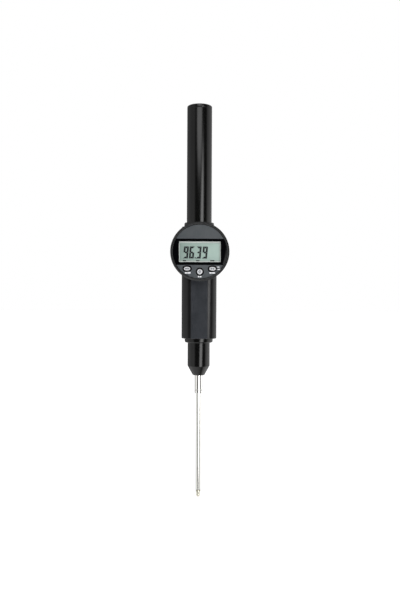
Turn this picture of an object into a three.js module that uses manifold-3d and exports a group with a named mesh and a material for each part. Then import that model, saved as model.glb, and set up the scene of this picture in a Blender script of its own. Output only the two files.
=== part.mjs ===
// A long-travel digital dial indicator: a round display head on a soft-cornered square body, a guard tube
// above it and a stem below it, with a sprung spindle that slides through all of them.
// Millimetres, +Z up the spindle, the display faces -Y. The origin is on the spindle's axis at the
// middle of the exposed stem, where a holder clamps it.

import * as THREE from "three";
import { mergeVertices } from "three/addons/utils/BufferGeometryUtils.js";
import Module from "manifold-3d";

const wasm = await Module();
wasm.setup();

// Fits.
const seatGap = 0.3; // between two fixed pieces that bear on each other
const closeGap = 0.15; // between a fixed piece and the one it is pressed or clamped on
const slideGap = 0.06; // between the spindle and its bushes
const guideGap = 0.1; // between the guide pin and its slot
const stopGap = 0.3; // between a moving piece and the stop it comes to rest on
const weld = 0.1; // how far two forms of one piece reach into each other
const past = 1; // how far a cut runs past the face that it opens

// Facets round a circle.
const facetsWide = 36;
const facetsMedium = 24;
const facetsSmall = 16;
const facetsTiny = 8;

// Travel and spindle.
const travel = 100;
const spindleDiameter = 5;
const retractedLength = 1.5; // spindle left outside the stem when it is fully in
const spindleEndChamfer = 0.3;
const tipThreadDiameter = 2.5;
const tipThreadLength = 5;
const springPegDiameter = 3;
const springPegLength = 3;

// Contact point.
const contactBallDiameter = 3.2;
const contactBaseLength = 1.9;
const contactNeckDiameter = 4;
const contactLength = 7.6; // from the spindle's end to the ball's lowest point
const contactNeckStraight = 0.5;
const contactRimWall = 0.25;
const ballSeatGap = 0.1;

// Stem.
const stemDiameter = 8;
const stemExposed = 19;
const stemFlangeRim = 2.5;
const stemFlangeLength = 1.5;
const stemGrooveFromEnd = 3.3;
const stemGrooveWidth = 1;
const stemGrooveDepth = 0.3;
const bushWall = 0.54;
const bushLength = 12;
const bushInset = 2; // from the stem's end to the bush, which leaves room for the wiper
const wiperLength = 1.4;
const bumperLength = 2.4;

// Nose: its sleeve's bore clears the scale, which slides in it.
const sleeveClearance = 1.62;
const sleeveWall = 2.05;
const coneLength = 9.7;
const coneEndRim = 2.55; // the cone's small end round the stem
const coneShoulder = 0.5;
const noseFloor = 0.5; // how far the bore's floor is above the cone

// Body and its two collars.
const bodyWidth = 36;
const bodyCornerRadius = 10;
const bodyBoreRim = 1; // the body's bore round the guard tube
const bodyEndAllowance = 15; // body length beyond the travel
const lowerCollarRim = 3.1; // beyond the sleeve
const lowerCollarLength = 4.8;
const upperCollarRim = 2.5; // beyond the tube
const upperCollarLength = 4.9;
const collarRound = 0.6;
const spigotDepth = 5; // how far collars, sleeve and tube reach into the body

// Guard tube, cap and upper stop. The tube's bore clears the scale, as the sleeve's does.
const tubeClearance = 2.12;
const tubeWall = 3;
const tubeEndAllowance = 21.8; // exposed tube and cap length beyond the travel
const capFlangeLength = 3.3;
const capSpigotLength = 6;
const capChamfer = 0.4;
const spannerHoleDiameter = 2;
const spannerHoleDepth = 2;
const spannerHoleSpacing = 16;
const stopRodDiameter = 8;
const stopRodInCap = 3;
const upperBumperLength = 2.5;

// Return spring.
const springWire = 1;
const springTurns = 14;
const springStepsPerTurn = 8;
const springWireFacets = 4;
const springSeatClearance = 1.2; // between the seat's rim and the tube's bore
const springSeatRim = 0.3; // the seat's rim beyond the spring
const springSeatThickness = 1.5;
const springPilotClearance = 0.7; // between the pilot and the spring
const springPilotLength = 1.5;

// Measuring scale and its carrier.
const sensorLength = 22;
const sensorWidth = 13;
const sensorThickness = 1.4;
const sensorAirGap = 0.4;
const scaleMargin = 1; // scale beyond the sensor at each end of the travel
const scaleWidth = 6.4;
const scaleThickness = 0.8;
const carrierWidth = 7;
const carrierBarThickness = 2.7;
const carrierBarClearance = 0.9; // between the bar and the spindle
const carrierBlockWall = 2.1; // round the spindle
const carrierEndBlock = 10;
const carrierGuideBlock = 6.5;
const carrierEndBelowScale = 0.5;
const carrierEndAboveScale = 3.1;
const clampScrewDiameter = 2.5;
const clampScrewLength = 1.9;
const clampScrewSunk = 0.1;
const clampScrewSocket = 1.3; // across corners
const clampScrewSocketDepth = 0.9;

// Guide rail and pin.
const guidePinDiameter = 2;
const guidePinAboveSleeve = 2.65;
const guidePinInBlock = 1.2;
const railWidth = 7.2;
const railClearance = 0.5; // between the rail and the spring seat that passes it
const railDepth = 3.9;
const railSlotDepth = 2.5;
const railScrewInset = 8;

// Head: all depths are along Y, front to back.
const headDiameter = 59;
const headDepth = 14.7;
const headCentreBelowBodyTop = 26.7;
const caseInset = 0.5; // how much smaller in radius the case is than its bezel ring
const caseWall = 1.8;
const caseBack = 2;
const ringWidth = 2.4;
const ringDepth = 5;
const ringChamfer = 0.6;
const ringLip = 0.8; // how far the ring stands in front of the face plate
const plateThickness = 2.2;
const plateChannelDepth = 1.2;
const bandTop = 12.6;
const bandBottom = -13.2;
const lensThickness = 0.8;
const lensRecess = 0.1;
const lensEdgeGap = 0.2;
const lcdViewWidth = 41.6;
const lcdViewHeight = 20.6;
const lcdCentreZ = -0.2;
const lcdBorder = 0.8; // glass beyond the opening on each side
const lcdThickness = 1.8;
const frameWall = 1.4;
const frameDepth = 5.1;
const zebraEndGap = 0.8; // from the side of the opening to the strip's end
const zebraWidth = lcdViewWidth - 2 * zebraEndGap;
const zebraHeight = 2;
const zebraInset = 0.5;
const boardRadiusGap = 1.2;
const boardThickness = 1.2;
const chipSize = 9;
const chipThickness = 1.2;
const chipX = -19.5;
const chipZ = 2;

// Keys and the rubber mat under them.
const keyTravel = 0.8;
const keyProud = 0.7;
const ovalKeyWidth = 6.7;
const ovalKeyHeight = 3.8;
const roundKeyDiameter = 6;
const ovalKeyX = 12.6;
const ovalKeyZ = -17.1;
const roundKeyZ = -20.1;
const keyHoleGap = 0.3;
const keyRecessGap = 1.05;
const keyRecessDepth = 0.5;
const keyFlangeRim = 0.75;
const keyFlangeThickness = 0.8;
const keyPlungerDiameter = 2.8;
const keyPlungerLength = 1.5;
const matThickness = 1.2;
const matDomeDiameter = 5;
const matRim = 1.2;
const matClearance = 0.2; // left under a key that is fully pressed

// Battery, its cup on the back of the case, and its cap.
const batteryDiameter = 11.6;
const batteryThickness = 3.1;
const batteryX = 20.9;
const batteryBehindBoard = 0.8;
const cupWall = 0.9;
const cupDepth = 2.3; // from the case's inner back face to the cup's rear end
const batteryCapFlange = 1.2;
const batteryCapPlug = 1.2;
const sealWidth = 0.6;
const sealThickness = 0.9;
const coinSlotWidth = 1.4;
const coinSlotDepth = 0.7;
const coinSlotLength = 10;
const contactStripThickness = 0.25;
const contactStripDiameter = 8;

// Sensor bracket between the head and the scale.
const bracketHalfHeight = 16.2;
const bracketHalfWidth = 7.7;
const bracketWall = 1.5;
const bracketEndPlate = 1.2;
const bracketFlangeWidth = 25;
const bracketFlangeRim = 1;
const bracketFlangeThickness = 1.2;
const flexWidth = 8;
const flexThickness = 0.3;
const flexSensorZ = -7.5;
const flexBoardZ = -3.5;
const flexSlotHeight = 3;

// Back lug.
const lugPlateWidth = 16;
const lugPlateHeight = 36;
const lugPlateThickness = 2.5;
const lugThickness = 5;
const lugHeight = 14;
const lugHoleDiameter = 6.5;
const lugHoleBehindPlate = 6.5;
const lugScrewSpacing = 26;

// Screws: thread diameter, head diameter and head height.
const headScrew = { thread: 2.3, head: 4.4, headHeight: 1.6 };
const boardScrew = { thread: 1.8, head: 3.6, headHeight: 1.4 };
const bracketScrew = { thread: 1.7, head: 3.2, headHeight: 0.7 };
const railScrew = { thread: 2, head: 3.8, headHeight: 1.3 };
const lugScrew = { thread: 2.6, head: 5, headHeight: 1.4 };
const headScrewX = 4.5;
const headScrewZ = 21;
const boardScrewX = 14;
const boardScrewZ = 19;
const boardPostDiameter = 4.4;
const bracketScrewX = 10.3;
const screwHeadChamfer = 0.2;
const screwSlotWidth = 0.5;
const screwSlotDepth = 0.5;

// Places along Z, from the stem up to the cap.
const stemBottomZ = -stemExposed / 2;
const coneBottomZ = stemExposed / 2;
const coneTopZ = coneBottomZ + coneLength;
const noseFloorZ = coneTopZ + noseFloor;
const stemTopZ = noseFloorZ + seatGap + stemFlangeLength;
const bumperBottomZ = stemTopZ + stopGap / 2;
const carrierBottomZ = bumperBottomZ + bumperLength + stopGap;
const scaleBottomZ = carrierBottomZ + carrierEndBelowScale;
const sensorBottomZ = scaleBottomZ + scaleMargin + travel;
const headCentreZ = sensorBottomZ + sensorLength / 2;
const scaleTopZ = sensorBottomZ + sensorLength + scaleMargin;
const carrierTopZ = scaleTopZ + carrierEndAboveScale;
const bodyTopZ = headCentreZ + headCentreBelowBodyTop;
const bodyLength = travel + bodyEndAllowance;
const bodyBottomZ = bodyTopZ - bodyLength;
const lowerCollarBottomZ = bodyBottomZ - lowerCollarLength;
const sleeveTopZ = bodyBottomZ + spigotDepth;
const tubeBottomZ = bodyTopZ - spigotDepth;
const upperCollarTopZ = bodyTopZ + upperCollarLength;
const capTopZ = upperCollarTopZ + travel + tubeEndAllowance;
const tubeTopZ = capTopZ - capFlangeLength;
const capSpigotBottomZ = tubeTopZ - capSpigotLength;
const spindleBottomZ = stemBottomZ - travel - retractedLength;
const contactTipZ = spindleBottomZ - contactLength;
const ballCentreZ = contactTipZ + contactBallDiameter / 2;
const springSeatBottomZ = carrierTopZ + seatGap;
const springSeatTopZ = springSeatBottomZ + springSeatThickness;
const springPegTopZ = carrierTopZ + springPegLength;
const upperBumperBottomZ = springSeatTopZ + springPilotLength + travel + stopGap;
const guidePinZ = sleeveTopZ + guidePinAboveSleeve;

// Places along Y: the display side is negative.
const bodyHalf = bodyWidth / 2;
const headBackY = -(bodyHalf + seatGap);
const headFrontY = headBackY - headDepth;
const caseInnerBackY = headBackY - caseBack;
const ringRearY = headFrontY + ringDepth;
const caseFrontY = ringRearY + seatGap;
const plateFrontY = headFrontY + ringLip;
const plateRearY = plateFrontY + plateThickness;
const channelY = plateFrontY + plateChannelDepth;
const lcdFrontY = plateRearY + seatGap;
const lcdRearY = lcdFrontY + lcdThickness;
const frameRearY = lcdFrontY + frameDepth;
const boardFrontY = frameRearY + seatGap;
const boardRearY = boardFrontY + boardThickness;
const batteryFrontY = boardRearY + batteryBehindBoard;
const batteryRearY = batteryFrontY + batteryThickness;
const cupRearY = caseInnerBackY + cupDepth;
const carrierBarFront = spindleDiameter / 2 + carrierBarClearance + carrierBarThickness;
const scaleFrontY = -(carrierBarFront + seatGap + scaleThickness);
const sensorRearY = scaleFrontY - sensorAirGap;
const sensorFrontY = sensorRearY - sensorThickness;
const bracketRearY = sensorFrontY - seatGap;
const bracketFlangeRearY = caseInnerBackY - seatGap;
const bracketFlangeFrontY = bracketFlangeRearY - bracketFlangeThickness;
const lugPlateFrontY = bodyHalf + seatGap;
const lugPlateRearY = lugPlateFrontY + lugPlateThickness;
const lugHoleY = lugPlateRearY + lugHoleBehindPlate;

// Radii that several pieces share.
const ringRadius = headDiameter / 2;
const caseRadius = ringRadius - caseInset;
const caseInnerRadius = caseRadius - caseWall;
const ringInnerRadius = ringRadius - ringWidth;
const plateRadius = ringInnerRadius - seatGap;
const scaleCornerRadius = Math.hypot(scaleWidth / 2, scaleFrontY);
const sleeveBoreRadius = scaleCornerRadius + sleeveClearance;
const sleeveRadius = sleeveBoreRadius + sleeveWall;
const tubeBoreRadius = scaleCornerRadius + tubeClearance;
const tubeRadius = tubeBoreRadius + tubeWall;
const bodyBoreRadius = tubeRadius + bodyBoreRim;
const spigotRadius = bodyBoreRadius - seatGap;
const spindleRadius = spindleDiameter / 2;
const bushBoreRadius = spindleRadius + slideGap;
const stemRadius = stemDiameter / 2;
const stemBoreRadius = spindleRadius + bushWall + slideGap;
const stemFlangeRadius = stemRadius + stemFlangeRim;
const springSeatRadius = tubeBoreRadius - springSeatClearance;
const springRadius = springSeatRadius - springSeatRim - springWire / 2;
const springPilotRadius = springRadius - springWire / 2 - springPilotClearance;
const railFront = springSeatRadius + railClearance;
const carrierBlockHalf = spindleRadius + carrierBlockWall;
const batteryCupRadius = batteryDiameter / 2 + seatGap;
const lugHoleRadius = lugHoleDiameter / 2;

// Finishes.
function finish(color, roughness, metalness) {
  return { color, roughness, metalness };
}
const blackAnodised = finish(0x26282a, 0.45, 0.6);
const blackPlastic = finish(0x1b1c1e, 0.5, 0);
const greyPlate = finish(0x53585c, 0.55, 0.1);
const glossBlack = finish(0x030304, 0.08, 0);
const keyGrey = finish(0xd0d0d2, 0.45, 0);
const liquidCrystal = finish(0x9fafa6, 0.3, 0);
const polishedSteel = finish(0xd8d8d4, 0.2, 1);
const darkSteel = finish(0x4a4b4d, 0.4, 1);
const bronze = finish(0xa9803f, 0.4, 1);
const rubber = finish(0x151515, 0.9, 0);
const boardGreen = finish(0x1d5b34, 0.5, 0);
const flexAmber = finish(0x9c5a1c, 0.4, 0);
const aluminium = finish(0xb4b6b8, 0.35, 1);
const carbide = finish(0xbdbab2, 0.15, 1);

// A closed geometry as a solid, and back.
function toSolid(geometry) {
  const bare = geometry.index ? geometry.toNonIndexed() : geometry.clone();
  bare.deleteAttribute("normal");
  bare.deleteAttribute("uv");
  const merged = mergeVertices(bare, 1e-4);
  return new wasm.Manifold(
    new wasm.Mesh({
      numProp: 3,
      vertProperties: merged.attributes.position.array,
      triVerts: new Uint32Array(merged.index.array),
    }),
  );
}

function toGeometry(solid) {
  const mesh = solid.getMesh();
  const points = new Float32Array((mesh.vertProperties.length / mesh.numProp) * 3);
  for (let i = 0; i < points.length / 3; i++) {
    for (let k = 0; k < 3; k++) points[3 * i + k] = mesh.vertProperties[mesh.numProp * i + k];
  }
  const geometry = new THREE.BufferGeometry();
  geometry.setAttribute("position", new THREE.BufferAttribute(points, 3));
  geometry.setIndex(new THREE.BufferAttribute(new Uint32Array(mesh.triVerts), 1));
  return geometry;
}

// The first geometry with some joined to it and others cut from it.
function shaped(base, joined, cuts) {
  let solid = toSolid(base);
  for (const geometry of joined) solid = solid.add(toSolid(geometry));
  for (const geometry of cuts) solid = solid.subtract(toSolid(geometry));
  return toGeometry(solid);
}

// Basic forms. A box from its two corners.
function box(x0, x1, y0, y1, z0, z1) {
  const geometry = new THREE.BoxGeometry(x1 - x0, y1 - y0, z1 - z0);
  return geometry.translate((x0 + x1) / 2, (y0 + y1) / 2, (z0 + z1) / 2);
}

// Cylinders along each axis, between two places on it.
function cylinderZ(radius, z0, z1, facets, x = 0, y = 0) {
  const geometry = new THREE.CylinderGeometry(radius, radius, z1 - z0, facets);
  return geometry.rotateX(Math.PI / 2).translate(x, y, (z0 + z1) / 2);
}

function cylinderY(radius, y0, y1, facets, x = 0, z = 0) {
  const geometry = new THREE.CylinderGeometry(radius, radius, y1 - y0, facets);
  return geometry.translate(x, (y0 + y1) / 2, z);
}

function cylinderX(radius, x0, x1, facets, y = 0, z = 0) {
  const geometry = new THREE.CylinderGeometry(radius, radius, x1 - x0, facets);
  return geometry.rotateZ(Math.PI / 2).translate((x0 + x1) / 2, y, z);
}

// A profile of [radius, place] points turned about Y, or about Z. Its outside is on the right of
// the path, so outer walls are listed from low to high.
function turnedY(profile, facets) {
  const points = profile.map(([radius, place]) => new THREE.Vector2(radius, place));
  return new THREE.LatheGeometry(points, facets);
}

function turnedZ(profile, facets) {
  return turnedY(profile, facets).rotateX(Math.PI / 2);
}

// A ring's profile: its outer wall from low to high, then its bore, closed on its first point.
function ringProfile(outer, bore) {
  return [...outer, ...bore, outer[0]];
}

function plainRing(boreRadius, radius, low, high) {
  return ringProfile([[radius, low], [radius, high]], [[boreRadius, high], [boreRadius, low]]);
}

// An outline in X and Z made into a plate between two places on Y.
function plateXZ(outline, y0, y1) {
  const geometry = new THREE.ExtrudeGeometry(outline, { depth: y1 - y0, bevelEnabled: false });
  return geometry.rotateX(Math.PI / 2).translate(0, y1, 0);
}

function ellipseOutline(x, z, halfWidth, halfHeight) {
  const curve = new THREE.EllipseCurve(x, z, halfWidth, halfHeight);
  return new THREE.Shape(curve.getPoints(facetsSmall).slice(0, facetsSmall));
}

function mesh(name, geometry, look) {
  const piece = new THREE.Mesh(geometry, new THREE.MeshStandardMaterial(look));
  piece.name = name;
  return piece;
}

// A slotted screw whose head faces -Z at its local origin and whose thread runs up +Z.
function screwGeometry(size, threadLength) {
  const head = size.head / 2;
  const thread = size.thread / 2;
  const profile = [
    [0, -size.headHeight],
    [head - screwHeadChamfer, -size.headHeight],
    [head, screwHeadChamfer - size.headHeight],
    [head, 0],
    [thread, 0],
    [thread, threadLength],
    [0, threadLength],
  ];
  const slot = box(-head, head, -screwSlotWidth / 2, screwSlotWidth / 2,
    -size.headHeight - past, screwSlotDepth - size.headHeight);
  return shaped(turnedZ(profile, facetsTiny), [], [slot]);
}

// A screw placed in X and Z, with its head's seat at y and its thread towards +Y or -Y.
function screwAlongY(name, size, threadLength, x, y, z, towardsRear) {
  const piece = mesh(name, screwGeometry(size, threadLength), darkSteel);
  piece.position.set(x, y, z);
  piece.rotation.x = towardsRear ? -Math.PI / 2 : Math.PI / 2;
  return piece;
}

// Body, nose and guard tube.
function bodyOutline() {
  const flat = bodyHalf - bodyCornerRadius;
  const steps = facetsMedium / 4;
  const points = [];
  for (const [quarter, x, y] of [[0, flat, flat], [1, -flat, flat], [2, -flat, -flat], [3, flat, -flat]]) {
    for (let i = 0; i <= steps; i++) {
      const angle = (quarter + i / steps) * Math.PI / 2;
      points.push(new THREE.Vector2(x + bodyCornerRadius * Math.cos(angle),
        y + bodyCornerRadius * Math.sin(angle)));
    }
  }
  return new THREE.Shape(points);
}

function bodyHousing() {
  const block = new THREE.ExtrudeGeometry(bodyOutline(), { depth: bodyLength, bevelEnabled: false });
  block.translate(0, 0, bodyBottomZ);
  const reach = bodyHalf + past;
  const cuts = [cylinderZ(bodyBoreRadius, bodyBottomZ - past, bodyTopZ + past, facetsWide)];
  const windowHalf = bracketHalfWidth + seatGap;
  const windowHeight = bracketHalfHeight + seatGap;
  cuts.push(box(-windowHalf, windowHalf, -reach, -bodyBoreRadius / 2,
    headCentreZ - windowHeight, headCentreZ + windowHeight));
  for (const x of [-headScrewX, headScrewX]) {
    for (const z of [-headScrewZ, headScrewZ]) {
      const radius = headScrew.thread / 2 + seatGap;
      cuts.push(cylinderY(radius, -reach, -bodyBoreRadius / 2, facetsTiny, x, headCentreZ + z));
    }
  }
  for (const z of railScrewPlaces()) {
    const seat = bodyHalf - railScrew.headHeight - seatGap;
    cuts.push(cylinderY(railScrew.thread / 2 + seatGap, bodyBoreRadius / 2, reach, facetsTiny, 0, z));
    cuts.push(cylinderY(railScrew.head / 2 + seatGap, seat, reach, facetsTiny, 0, z));
  }
  for (const z of lugScrewPlaces()) {
    cuts.push(cylinderY(lugScrew.thread / 2 + seatGap, bodyBoreRadius / 2, reach, facetsTiny, 0, z));
  }
  return mesh("body_housing", shaped(block, [], cuts), blackAnodised);
}

function lowerCollar() {
  const bore = sleeveRadius + seatGap;
  const radius = sleeveRadius + lowerCollarRim;
  const flangeTop = bodyBottomZ - seatGap;
  const outer = [
    [radius - collarRound, lowerCollarBottomZ],
    [radius, lowerCollarBottomZ + collarRound],
    [radius, flangeTop],
    [spigotRadius, flangeTop],
    [spigotRadius, sleeveTopZ],
  ];
  const profile = ringProfile(outer, [[bore, sleeveTopZ], [bore, lowerCollarBottomZ]]);
  return mesh("bottom_collar", turnedZ(profile, facetsWide), blackAnodised);
}

function upperCollar() {
  const bore = tubeRadius + seatGap;
  const radius = tubeRadius + upperCollarRim;
  const flangeBottom = bodyTopZ + seatGap;
  const outer = [
    [spigotRadius, tubeBottomZ],
    [spigotRadius, flangeBottom],
    [radius, flangeBottom],
    [radius, upperCollarTopZ - collarRound],
    [radius - collarRound, upperCollarTopZ],
  ];
  const profile = ringProfile(outer, [[bore, upperCollarTopZ], [bore, tubeBottomZ]]);
  return mesh("top_collar", turnedZ(profile, facetsWide), blackAnodised);
}

function noseSleeve() {
  const stemHole = stemRadius + closeGap;
  const coneEnd = stemRadius + coneEndRim;
  const outer = [
    [coneEnd - coneShoulder, coneBottomZ],
    [coneEnd, coneBottomZ + coneShoulder],
    [sleeveRadius - coneShoulder / 2, coneTopZ - coneShoulder / 2],
    [sleeveRadius, coneTopZ + coneShoulder / 2],
    [sleeveRadius, sleeveTopZ],
  ];
  const bore = [
    [sleeveBoreRadius, sleeveTopZ],
    [sleeveBoreRadius, noseFloorZ],
    [stemHole, noseFloorZ],
    [stemHole, coneBottomZ],
  ];
  return mesh("nose_sleeve", turnedZ(ringProfile(outer, bore), facetsMedium), blackAnodised);
}

function guardTube() {
  const profile = plainRing(tubeBoreRadius, tubeRadius, tubeBottomZ, tubeTopZ - seatGap);
  return mesh("guard_tube", turnedZ(profile, facetsWide), blackAnodised);
}

function tubeCap() {
  const spigot = tubeBoreRadius - closeGap;
  const rodHole = stopRodDiameter / 2 + closeGap;
  const profile = [
    [0, capSpigotBottomZ + stopRodInCap],
    [rodHole, capSpigotBottomZ + stopRodInCap],
    [rodHole, capSpigotBottomZ],
    [spigot, capSpigotBottomZ],
    [spigot, tubeTopZ],
    [tubeRadius, tubeTopZ],
    [tubeRadius, capTopZ - capChamfer],
    [tubeRadius - capChamfer, capTopZ],
    [0, capTopZ],
  ];
  const holes = [];
  for (const x of [-spannerHoleSpacing / 2, spannerHoleSpacing / 2]) {
    const radius = spannerHoleDiameter / 2;
    holes.push(cylinderZ(radius, capTopZ - spannerHoleDepth, capTopZ + past, facetsTiny, x));
  }
  return mesh("tube_cap", shaped(turnedZ(profile, facetsWide), [], holes), blackAnodised);
}

function stopRod() {
  const top = capSpigotBottomZ + stopRodInCap - seatGap;
  const bottom = upperBumperBottomZ + upperBumperLength + seatGap;
  return mesh("stop_rod", cylinderZ(stopRodDiameter / 2, bottom, top, facetsSmall), aluminium);
}

function upperBumper() {
  const top = upperBumperBottomZ + upperBumperLength;
  const geometry = cylinderZ(stopRodDiameter / 2, upperBumperBottomZ, top, facetsSmall);
  return mesh("upper_bumper", geometry, rubber);
}

// Stem and what it holds.
function stem() {
  const groove = stemBottomZ + stemGrooveFromEnd;
  const outer = [
    [stemRadius - spindleEndChamfer, stemBottomZ],
    [stemRadius, stemBottomZ + spindleEndChamfer],
    [stemRadius, groove - stemGrooveWidth / 2],
    [stemRadius - stemGrooveDepth, groove - stemGrooveWidth / 2],
    [stemRadius - stemGrooveDepth, groove + stemGrooveWidth / 2],
    [stemRadius, groove + stemGrooveWidth / 2],
    [stemRadius, stemTopZ - stemFlangeLength],
    [stemFlangeRadius, stemTopZ - stemFlangeLength],
    [stemFlangeRadius, stemTopZ],
  ];
  const profile = ringProfile(outer, [[stemBoreRadius, stemTopZ], [stemBoreRadius, stemBottomZ]]);
  return mesh("stem", turnedZ(profile, facetsSmall), polishedSteel);
}

function stemRing(name, low, high, look) {
  const profile = plainRing(bushBoreRadius, stemBoreRadius - slideGap, low, high);
  return mesh(name, turnedZ(profile, facetsSmall), look);
}

function stemParts() {
  const lowerBush = stemBottomZ + bushInset;
  const wiper = lowerBush - seatGap - wiperLength;
  return [
    stem(),
    stemRing("stem_bush_lower", lowerBush, lowerBush + bushLength, bronze),
    stemRing("stem_bush_upper", stemTopZ - bushLength, stemTopZ, bronze),
    stemRing("wiper_ring", wiper, wiper + wiperLength, rubber),
  ];
}

function lowerBumper() {
  const bore = spindleRadius + seatGap;
  const profile = plainRing(bore, stemFlangeRadius, bumperBottomZ, bumperBottomZ + bumperLength);
  return mesh("lower_bumper", turnedZ(profile, facetsSmall), rubber);
}

// Guide rail: a channel in the rear of the bore that keeps the spindle from turning.
function railScrewPlaces() {
  return [bodyBottomZ + railScrewInset, bodyTopZ - railScrewInset];
}

function guideRail() {
  const rear = railFront + railDepth;
  const low = sleeveTopZ + seatGap;
  const high = tubeBottomZ - seatGap;
  const slot = guidePinDiameter / 2 + guideGap;
  const cuts = [box(-slot, slot, railFront - past, railFront + railSlotDepth, low - past, high + past)];
  for (const z of railScrewPlaces()) {
    const floor = railFront + railSlotDepth + seatGap;
    cuts.push(cylinderY(railScrew.thread / 2 + closeGap, floor, rear + past, facetsTiny, 0, z));
  }
  const bar = box(-railWidth / 2, railWidth / 2, railFront, rear, low, high);
  return mesh("guide_rail", shaped(bar, [], cuts), polishedSteel);
}

function railScrews() {
  const seat = bodyHalf - railScrew.headHeight;
  const thread = seat - (railFront + railSlotDepth + 2 * seatGap);
  const names = ["rail_screw_lower", "rail_screw_upper"];
  const places = railScrewPlaces();
  return names.map((name, i) => screwAlongY(name, railScrew, thread, 0, seat, places[i], false));
}

// Head casing and face.
function headCase() {
  const outer = [[caseRadius, caseFrontY], [caseRadius, headBackY], [0, headBackY]];
  const inner = [[0, caseInnerBackY], [caseInnerRadius, caseInnerBackY], [caseInnerRadius, caseFrontY]];
  const cup = turnedY([...inner, ...outer], facetsWide);
  const posts = [];
  const cuts = [];
  const postFront = boardRearY + seatGap;
  const inWall = headBackY - caseBack / 4;
  for (const x of [-boardScrewX, boardScrewX]) {
    const hole = boardScrew.thread / 2 + closeGap;
    posts.push(cylinderY(boardPostDiameter / 2, postFront, inWall, facetsTiny, x, boardScrewZ));
    cuts.push(cylinderY(hole, postFront - past, headBackY - caseBack / 2, facetsTiny, x, boardScrewZ));
  }
  posts.push(cylinderY(batteryCupRadius + cupWall, inWall, cupRearY, facetsMedium, batteryX));
  cuts.push(cylinderY(batteryCupRadius, caseInnerBackY - past, cupRearY + past, facetsMedium, batteryX));
  const windowWidth = bracketHalfWidth + seatGap;
  const windowHeight = bracketHalfHeight + seatGap;
  cuts.push(box(-windowWidth, windowWidth, caseInnerBackY - past, headBackY + past,
    -windowHeight, windowHeight));
  for (const x of [-headScrewX, headScrewX]) {
    for (const z of [-headScrewZ, headScrewZ]) {
      const radius = headScrew.thread / 2 + seatGap;
      cuts.push(cylinderY(radius, caseInnerBackY - past, headBackY + past, facetsTiny, x, z));
    }
  }
  for (const x of [-bracketScrewX, bracketScrewX]) {
    const radius = bracketScrew.thread / 2 + closeGap;
    cuts.push(cylinderY(radius, caseInnerBackY - past, headBackY + past, facetsTiny, x));
  }
  return mesh("head_case", shaped(cup, posts, cuts), blackPlastic);
}

function bezelRing() {
  const outer = [
    [ringRadius - ringChamfer, headFrontY],
    [ringRadius, headFrontY + ringChamfer],
    [ringRadius, ringRearY],
  ];
  const bore = [[ringInnerRadius, ringRearY], [ringInnerRadius, headFrontY + ringChamfer / 2],
    [ringInnerRadius + ringChamfer / 2, headFrontY]];
  return mesh("bezel_ring", turnedY(ringProfile(outer, bore), facetsWide), blackPlastic);
}

// The three keys, each with its outline half sizes and its place on the face.
function keys() {
  const oval = [ovalKeyWidth / 2, ovalKeyHeight / 2];
  const round = [roundKeyDiameter / 2, roundKeyDiameter / 2];
  return [
    { name: "key_left", half: oval, x: -ovalKeyX, z: ovalKeyZ },
    { name: "key_middle", half: round, x: 0, z: roundKeyZ },
    { name: "key_right", half: oval, x: ovalKeyX, z: ovalKeyZ },
  ];
}

function keyPlate(key, margin, y0, y1) {
  const outline = ellipseOutline(key.x, key.z, key.half[0] + margin, key.half[1] + margin);
  return plateXZ(outline, y0, y1);
}

function lcdBox(margin, y0, y1) {
  const halfWidth = lcdViewWidth / 2 + margin;
  const halfHeight = lcdViewHeight / 2 + margin;
  return box(-halfWidth, halfWidth, y0, y1, lcdCentreZ - halfHeight, lcdCentreZ + halfHeight);
}

function facePlate() {
  const disc = cylinderY(plateRadius, plateFrontY, plateRearY, facetsWide);
  const cuts = [box(-headDiameter, headDiameter, plateFrontY - past, channelY, bandBottom, bandTop)];
  cuts.push(lcdBox(seatGap, plateFrontY - past, plateRearY + past));
  for (const key of keys()) {
    cuts.push(keyPlate(key, keyHoleGap, plateFrontY - past, plateRearY + past));
    cuts.push(keyPlate(key, keyRecessGap, plateFrontY - past, plateFrontY + keyRecessDepth));
  }
  return mesh("face_plate", shaped(disc, [], cuts), greyPlate);
}

function windowLens() {
  const front = plateFrontY + lensRecess;
  const disc = toSolid(cylinderY(plateRadius, front, front + lensThickness, facetsWide));
  const band = toSolid(box(-headDiameter, headDiameter, front - past, front + lensThickness + past,
    bandBottom + lensEdgeGap, bandTop - lensEdgeGap));
  return mesh("window_lens", toGeometry(disc.intersect(band)), glossBlack);
}

// Display stack, keyboard and circuit boards.
function displayFrame() {
  const outer = lcdBox(lcdBorder + seatGap + frameWall, lcdFrontY, frameRearY);
  const opening = lcdBox(lcdBorder + seatGap, lcdFrontY - past, frameRearY + past);
  return mesh("display_frame", shaped(outer, [], [opening]), blackPlastic);
}

function zebraStrip(name, side) {
  const half = lcdViewHeight / 2 + lcdBorder - zebraInset;
  const outerZ = lcdCentreZ + side * half;
  const innerZ = outerZ - side * zebraHeight;
  const strip = box(-zebraWidth / 2, zebraWidth / 2, lcdRearY + seatGap, frameRearY,
    Math.min(outerZ, innerZ), Math.max(outerZ, innerZ));
  return mesh(name, strip, rubber);
}

function mainBoard() {
  const radius = caseInnerRadius - boardRadiusGap;
  const cuts = [];
  for (const x of [-boardScrewX, boardScrewX]) {
    const hole = boardScrew.thread / 2 + seatGap;
    cuts.push(cylinderY(hole, boardFrontY - past, boardRearY + past, facetsTiny, x, boardScrewZ));
  }
  const disc = cylinderY(radius, boardFrontY, boardRearY, facetsWide);
  return mesh("main_board", shaped(disc, [], cuts), boardGreen);
}

function controllerChip() {
  const rear = boardRearY + seatGap + chipThickness;
  const chip = box(chipX - chipSize / 2, chipX + chipSize / 2, boardRearY + seatGap, rear,
    chipZ - chipSize / 2, chipZ + chipSize / 2);
  return mesh("controller_chip", chip, blackPlastic);
}

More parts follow.
